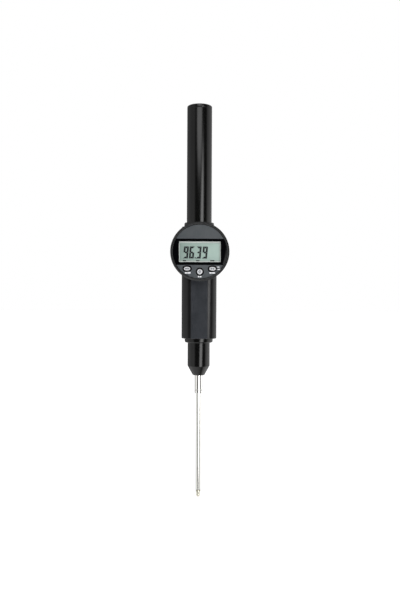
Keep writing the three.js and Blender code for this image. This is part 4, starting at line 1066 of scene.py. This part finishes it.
def lug_plate():
    """Back plate with a rounded lug, its bore flared at both ends, and pockets for two screws."""
    low, high = corners("lug_plate")
    centre = middle("lug_plate")[Z]
    plate_rear = corners("lug_screw_lower")[1][Y]
    half = (high[X], (high[Z] - low[Z]) / 2)
    plate = stacked("lug_bracket", soft_box((0, centre), half, 1.6), bevelled(low[Y], plate_rear, 0.35))
    end = LUG_HEIGHT / 2
    hole_y = high[Y] - end
    turn = np.linspace(-np.pi / 2, np.pi / 2, 25)
    nose = [(hole_y + end * math.cos(t), centre + end * math.sin(t)) for t in turn]
    root = [(plate_rear - 0.5, centre + end), (plate_rear - 0.5, centre - end)]
    web = stacked("web", polygon(nose + root), bevelled(-2.5, 2.5, 0.35), axis=X)
    combine(plate, [web], "UNION")
    cuts = [turned("bore", [(0, -4, 0), (3.6, -4, 0), (3.6, -2.5, 0), (3.25, -2.15, 0),
                                  (3.25, 2.15, 0), (3.6, 2.5, 0), (3.6, 4, 0), (0, 4, 0)],
                         axis=X, centre=(hole_y, centre), columns=96)]
    for node in LUG_SCREWS:
        at = middle(node)[Z]
        cuts.append(turned("pocket", [
            (0, low[Y] - 1, 0), (LUG_SCREW_HOLE, low[Y] - 1, 0), (LUG_SCREW_HOLE, plate_rear - 1.7, 0),
            (2.8, plate_rear - 1.7, 0), (2.8, plate_rear - 0.2, 0), (3.1, plate_rear + 0.1, 0),
            (3.1, plate_rear + 1, 0), (0, plate_rear + 1, 0)], axis=Y, centre=(0, at), columns=64))
    return fit(combine(plate, cuts), MILLED, "casing", "lug_plate")


def screw(node, head, head_height, shank, to_rear):
    """A pan-head screw along Y with a cross recess; its head is on the side it is driven from."""
    low, high = corners(node)
    centre = middle(node)
    top, tip = (low[Y], high[Y]) if to_rear else (high[Y], low[Y])
    way = 1 if to_rear else -1
    profile = [(0, top, 0), (head, top, 0.4 * head_height), (head, top + way * head_height, 0.1),
               (shank, top + way * head_height, 0), *thread(shank, top + way * head_height, tip, way),
               (0, tip, 0)]
    piece = turned(node + "_fastener", profile, axis=Y, centre=(centre[X], centre[Z]), columns=40)
    deep = top + way * 0.55 * head_height
    arms = []
    for wide, tall in ((0.62 * head, 0.13 * head), (0.13 * head, 0.62 * head)):
        arm = soft_box((centre[X], centre[Z]), (wide, tall), 0.06)
        arms.append(through("arm", arm, min(top - way, deep), max(top - way, deep)))
    return fit(combine(piece, arms), SCREW, "casing", node)


def thread(shank, start, end, way):
    """Rings of a rolled thread between the head and the tip."""
    count = int(abs(end - start) / THREAD_PITCH) - 1
    points = []
    for i in range(max(count, 0)):
        crest = start + way * THREAD_PITCH * (i + 0.75)
        points.append((shank, crest, 0))
        points.append((shank - 0.14, crest + way * THREAD_PITCH / 2, 0))
    return points + [(shank - 0.25, end, 0)]


# ---------------------------------------------------------------- inner pieces kept as they are

def dress_inner_nodes():
    """Gives every carried-over node its own finish."""
    finishes = {
        RUBBER: ["wiper_ring", "lower_bumper", "upper_bumper", "zebra_strip_upper",
                 "zebra_strip_lower", "keypad_mat", "battery_seal"],
        BRONZE: ["stem_bush_lower", "stem_bush_upper", "battery_contact"],
        CASE: ["display_frame", "sensor_bracket", "controller_chip"],
        BOARD: ["main_board", "sensor_board"],
        SCALE: ["scale_strip"],
        FLEX: ["sensor_flex"],
        ALUMINIUM: ["stop_rod", "scale_carrier", "spring_seat"],
        INNER_STEEL: ["guide_rail", "guide_pin", "battery"],
        SCREW: ["clamp_screw_lower", "clamp_screw_upper"],
    }
    for material, names in finishes.items():
        for name in names:
            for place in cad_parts[name].material_slots:
                place.material = material


# ---------------------------------------------------------------- studio and camera

def soft_edge(tree, value, start, end):
    """0 at start and 1 at end, with an eased slope between."""
    step = add(tree, "MapRange", {"interpolation_type": "SMOOTHSTEP"}, Value=value, From_Min=start,
               From_Max=end)
    return step.outputs[0]


def soft_box_light(tree, azimuth, elevation, centre, reach, lean, level):
    """A soft-edged oval panel: full at its middle, nothing beyond its reach in degrees, and leaning
    to the right by lean degrees for each degree of height."""
    above = math_node(tree, "SUBTRACT", elevation, math.radians(centre[1]))
    across = math_node(tree, "MULTIPLY_ADD", above, -lean, azimuth)
    across = math_node(tree, "SUBTRACT", across, math.radians(centre[0]))
    across = math_node(tree, "DIVIDE", across, math.radians(reach[0]))
    above = math_node(tree, "DIVIDE", above, math.radians(reach[1]))
    squares = math_node(tree, "MULTIPLY_ADD", across, across, math_node(tree, "MULTIPLY", above, above))
    return math_node(tree, "MULTIPLY", soft_edge(tree, squares, 1.0, 0.25), level)


def levels_round(tree, turn, levels):
    """Levels at given azimuths in degrees, straight lines between them."""
    node = add(tree, "ValToRGB", Fac=turn)
    elements = node.color_ramp.elements
    while len(elements) < len(levels):
        elements.new(0.5)
    for element, (degrees, level) in zip(elements, levels):
        element.position = degrees / 360 + 0.5
        element.color = (level, level, level, 1)
    return node.outputs[0]


def studio_light():
    """A white room as the part sees it: grey side walls with dark gaps between, two soft panels,
    a bright ceiling and a lit floor. Azimuth 0 is the front and grows to the right."""
    world = bpy.data.worlds.new("studio")
    bpy.context.scene.world = world
    world.use_nodes = True
    tree = world.node_tree
    tree.nodes.clear()
    way = add(tree, "TexCoord").outputs["Generated"]
    parts = add(tree, "SeparateXYZ", Vector=way)
    toward = math_node(tree, "MULTIPLY", parts.outputs["Y"], -1.0)
    azimuth = math_node(tree, "ARCTAN2", parts.outputs["X"], toward)
    elevation = math_node(tree, "ARCSINE", parts.outputs["Z"])
    turn = add(tree, "MapRange", Value=azimuth, From_Min=-math.pi, From_Max=math.pi).outputs[0]
    fade = add(tree, "MapRange", Value=elevation, From_Min=math.radians(-6), From_Max=math.radians(18),
               To_Min=WALL_STRENGTH, To_Max=0.62 * WALL_STRENGTH).outputs[0]
    ceiling = soft_edge(tree, elevation, math.radians(24), math.radians(50))
    floor = soft_edge(tree, elevation, math.radians(-24), math.radians(-42))
    level = math_node(tree, "MULTIPLY", levels_round(tree, turn, WALL_LEVELS), fade)
    level = mix_colour(tree, ceiling, level, (CEILING_LEVEL,) * 3 + (1,))
    below = math_node(tree, "MULTIPLY", levels_round(tree, turn, FLOOR_LEVELS), FLOOR_STRENGTH)
    level = mix_colour(tree, floor, level, below)
    for centre, reach, lean, strength in PANELS:
        panel = soft_box_light(tree, azimuth, elevation, centre, reach, lean, strength)
        level = math_node(tree, "ADD", level, panel)
    lit = add(tree, "Background", Color=level, Strength=1.0)
    white = add(tree, "Background", Color=(1, 1, 1, 1), Strength=1.0)
    seen = add(tree, "LightPath").outputs["Is Camera Ray"]
    both = add(tree, "MixShader", _0=seen, _1=lit.outputs[0], _2=white.outputs[0])
    out = tree.nodes.new("ShaderNodeOutputWorld")
    tree.links.new(both.outputs[0], out.inputs["Surface"])


# Walls and floor: azimuth in degrees, level. Panels: azimuth and elevation, reach, lean, level.
WALL_STRENGTH = 2.0
WALL_LEVELS = [
    (-180, 0.05), (-150, 0.1), (-127, 0.28), (-100, 0.42), (-75, 0.44), (-55, 0.5), (-46, 0.4),
    (-37, 0.03), (-8, 0.02), (8, 0.02), (42, 0.02), (66, 0.03), (76, 0.6), (95, 0.75), (110, 0.7),
    (130, 0.5), (150, 0.3), (180, 0.05)]
FLOOR_STRENGTH = 2.2
FLOOR_LEVELS = [
    (-180, 0.5), (-110, 0.62), (-40, 0.6), (0, 0.45), (25, 0.35), (42, 0.1), (62, 0.1), (78, 0.7),
    (110, 0.9), (180, 0.6)]
PANELS = [((22, -6), (16.5, 27), 0.4, 5.7), ((-2, 23), (30, 15), 0.0, 3.4)]
CEILING_LEVEL = 0.6


def pale_floor():
    """A wide pale floor just under the contact ball."""
    level = cad_box[0][Z] - 0.0006
    size = 4.0
    mesh = bpy.data.meshes.new("studio_floor")
    mesh.from_pydata([(-size, -size, level), (size, -size, level), (size, size, level),
                      (-size, size, level)], [], [(0, 1, 2, 3)])
    floor = bpy.data.objects.new("studio_floor", mesh)
    bpy.context.scene.collection.objects.link(floor)
    material = bpy.data.materials.new("studio_white")
    material.use_nodes = True
    tree = material.node_tree
    connect(tree, tree.nodes["Principled BSDF"], Base_Color=(0.8, 0.8, 0.8, 1), Roughness=0.9,
            Specular_IOR_Level=0.1, Emission_Color=(1, 1, 1, 1), Emission_Strength=0.6)
    mesh.materials.append(material)
    floor.visible_glossy = False


def camera():
    """A level camera in front of the axis, framed with shift alone."""
    data = bpy.data.cameras.new("front_camera")
    data.lens = CAMERA_LENS
    data.sensor_width = 36
    data.shift_x, data.shift_y = CAMERA_SHIFT
    data.clip_start, data.clip_end = 0.01, 50
    view = bpy.data.objects.new("front_camera", data)
    view.location = (CAMERA_DISTANCE * math.sin(CAMERA_AZIMUTH),
                     -CAMERA_DISTANCE * math.cos(CAMERA_AZIMUTH), CAMERA_HEIGHT)
    turn = Euler((math.pi / 2, 0, CAMERA_AZIMUTH), "XYZ").to_matrix()
    roll = Euler((0, 0, CAMERA_ROLL), "XYZ").to_matrix()
    view.rotation_euler = (turn @ roll).to_euler()
    bpy.context.scene.collection.objects.link(view)
    bpy.context.scene.camera = view
    bpy.context.scene.view_settings.view_transform = "Standard"


# ---------------------------------------------------------------- the object

# Sizes, in millimetres, that the frame's boxes don't give.
TUBE_RADIUS = corners("guard_tube")[1][X]
TUBE_WALL = 3.0
SLEEVE_RADIUS = corners("nose_sleeve")[1][X]
SLEEVE_WALL = 2.05
CONE_LENGTH = 9.7
CONE_END = 6.3
STEM_RADIUS = 4.0
STEM_BORE = 3.1
STEM_FLANGE = 1.5
GROOVE_HEIGHT = 3.3
BODY_BORE = 14.0
BODY_CORNER = 10.0
UPPER_FLANGE = 4.75
LOWER_FLANGE = 4.65
RAIL_HEAD = (1.9, 1.3)
HEAD_Z = middle("bezel_ring")[Z]
HEAD_BACK = -18.3
CASE_WALL = 1.8
RING_WIDTH = 2.4
FACE_REACH = 0.25  # how far the face's rim stands past its disc, towards the ring
CHANNEL = 1.2
BAND = (-13.2, 12.6)
RECESS = 1.4
VIEW_HALF = (20.8, 10.3)
WINDOW_HALF = (8.0, 16.5)
LUG_HEIGHT = 14.0
LUG_SCREW_HOLE = 1.6  # radii of the screws' clearance holes
HEAD_SCREW_HOLE = 1.45
SPRING_WIRE = 0.5  # the wire's radius
SPRING_TURNS = 14
THREAD_PITCH = 0.45
LUG_SCREWS = ["lug_screw_lower", "lug_screw_upper"]
HEAD_SCREWS = ["head_screw_lower_left", "head_screw_lower_right", "head_screw_upper_left",
               "head_screw_upper_right"]
OVAL_HALF, ROUND_HALF = (3.15, 1.8), (2.6, 2.6)
KEYS = {
    "key_left": (ellipse(spot("key_left"), OVAL_HALF, 2.3), OVAL_HALF[1]),
    "key_middle": (ellipse(spot("key_middle"), ROUND_HALF), ROUND_HALF[0]),
    "key_right": (ellipse(spot("key_right"), OVAL_HALF, 2.3), OVAL_HALF[1])}

camera()
studio_light()
pale_floor()

for build in (body_housing, top_collar, bottom_collar, nose_sleeve, guard_tube, tube_cap, stem,
              return_spring, spindle, contact_point, contact_ball, head_case, bezel_ring,
              face_plate, window_frame, display, display_marks):
    build()
for key_node in KEYS:
    key(key_node)
key_symbols()
legends()
battery_cap()
lug_plate()
for screw_node in HEAD_SCREWS:
    screw(screw_node, 2.2, 1.6, 1.15, True)
for side in ("left", "right"):
    screw("board_screw_" + side, 1.8, 1.4, 0.9, True)
    screw("bracket_screw_" + side, 1.6, 0.7, 0.85, True)
for level_name in ("lower", "upper"):
    screw("rail_screw_" + level_name, RAIL_HEAD[0], RAIL_HEAD[1], 1.0, False)
    screw("lug_screw_" + level_name, 2.5, 1.4, 1.3, False)
dress_inner_nodes()
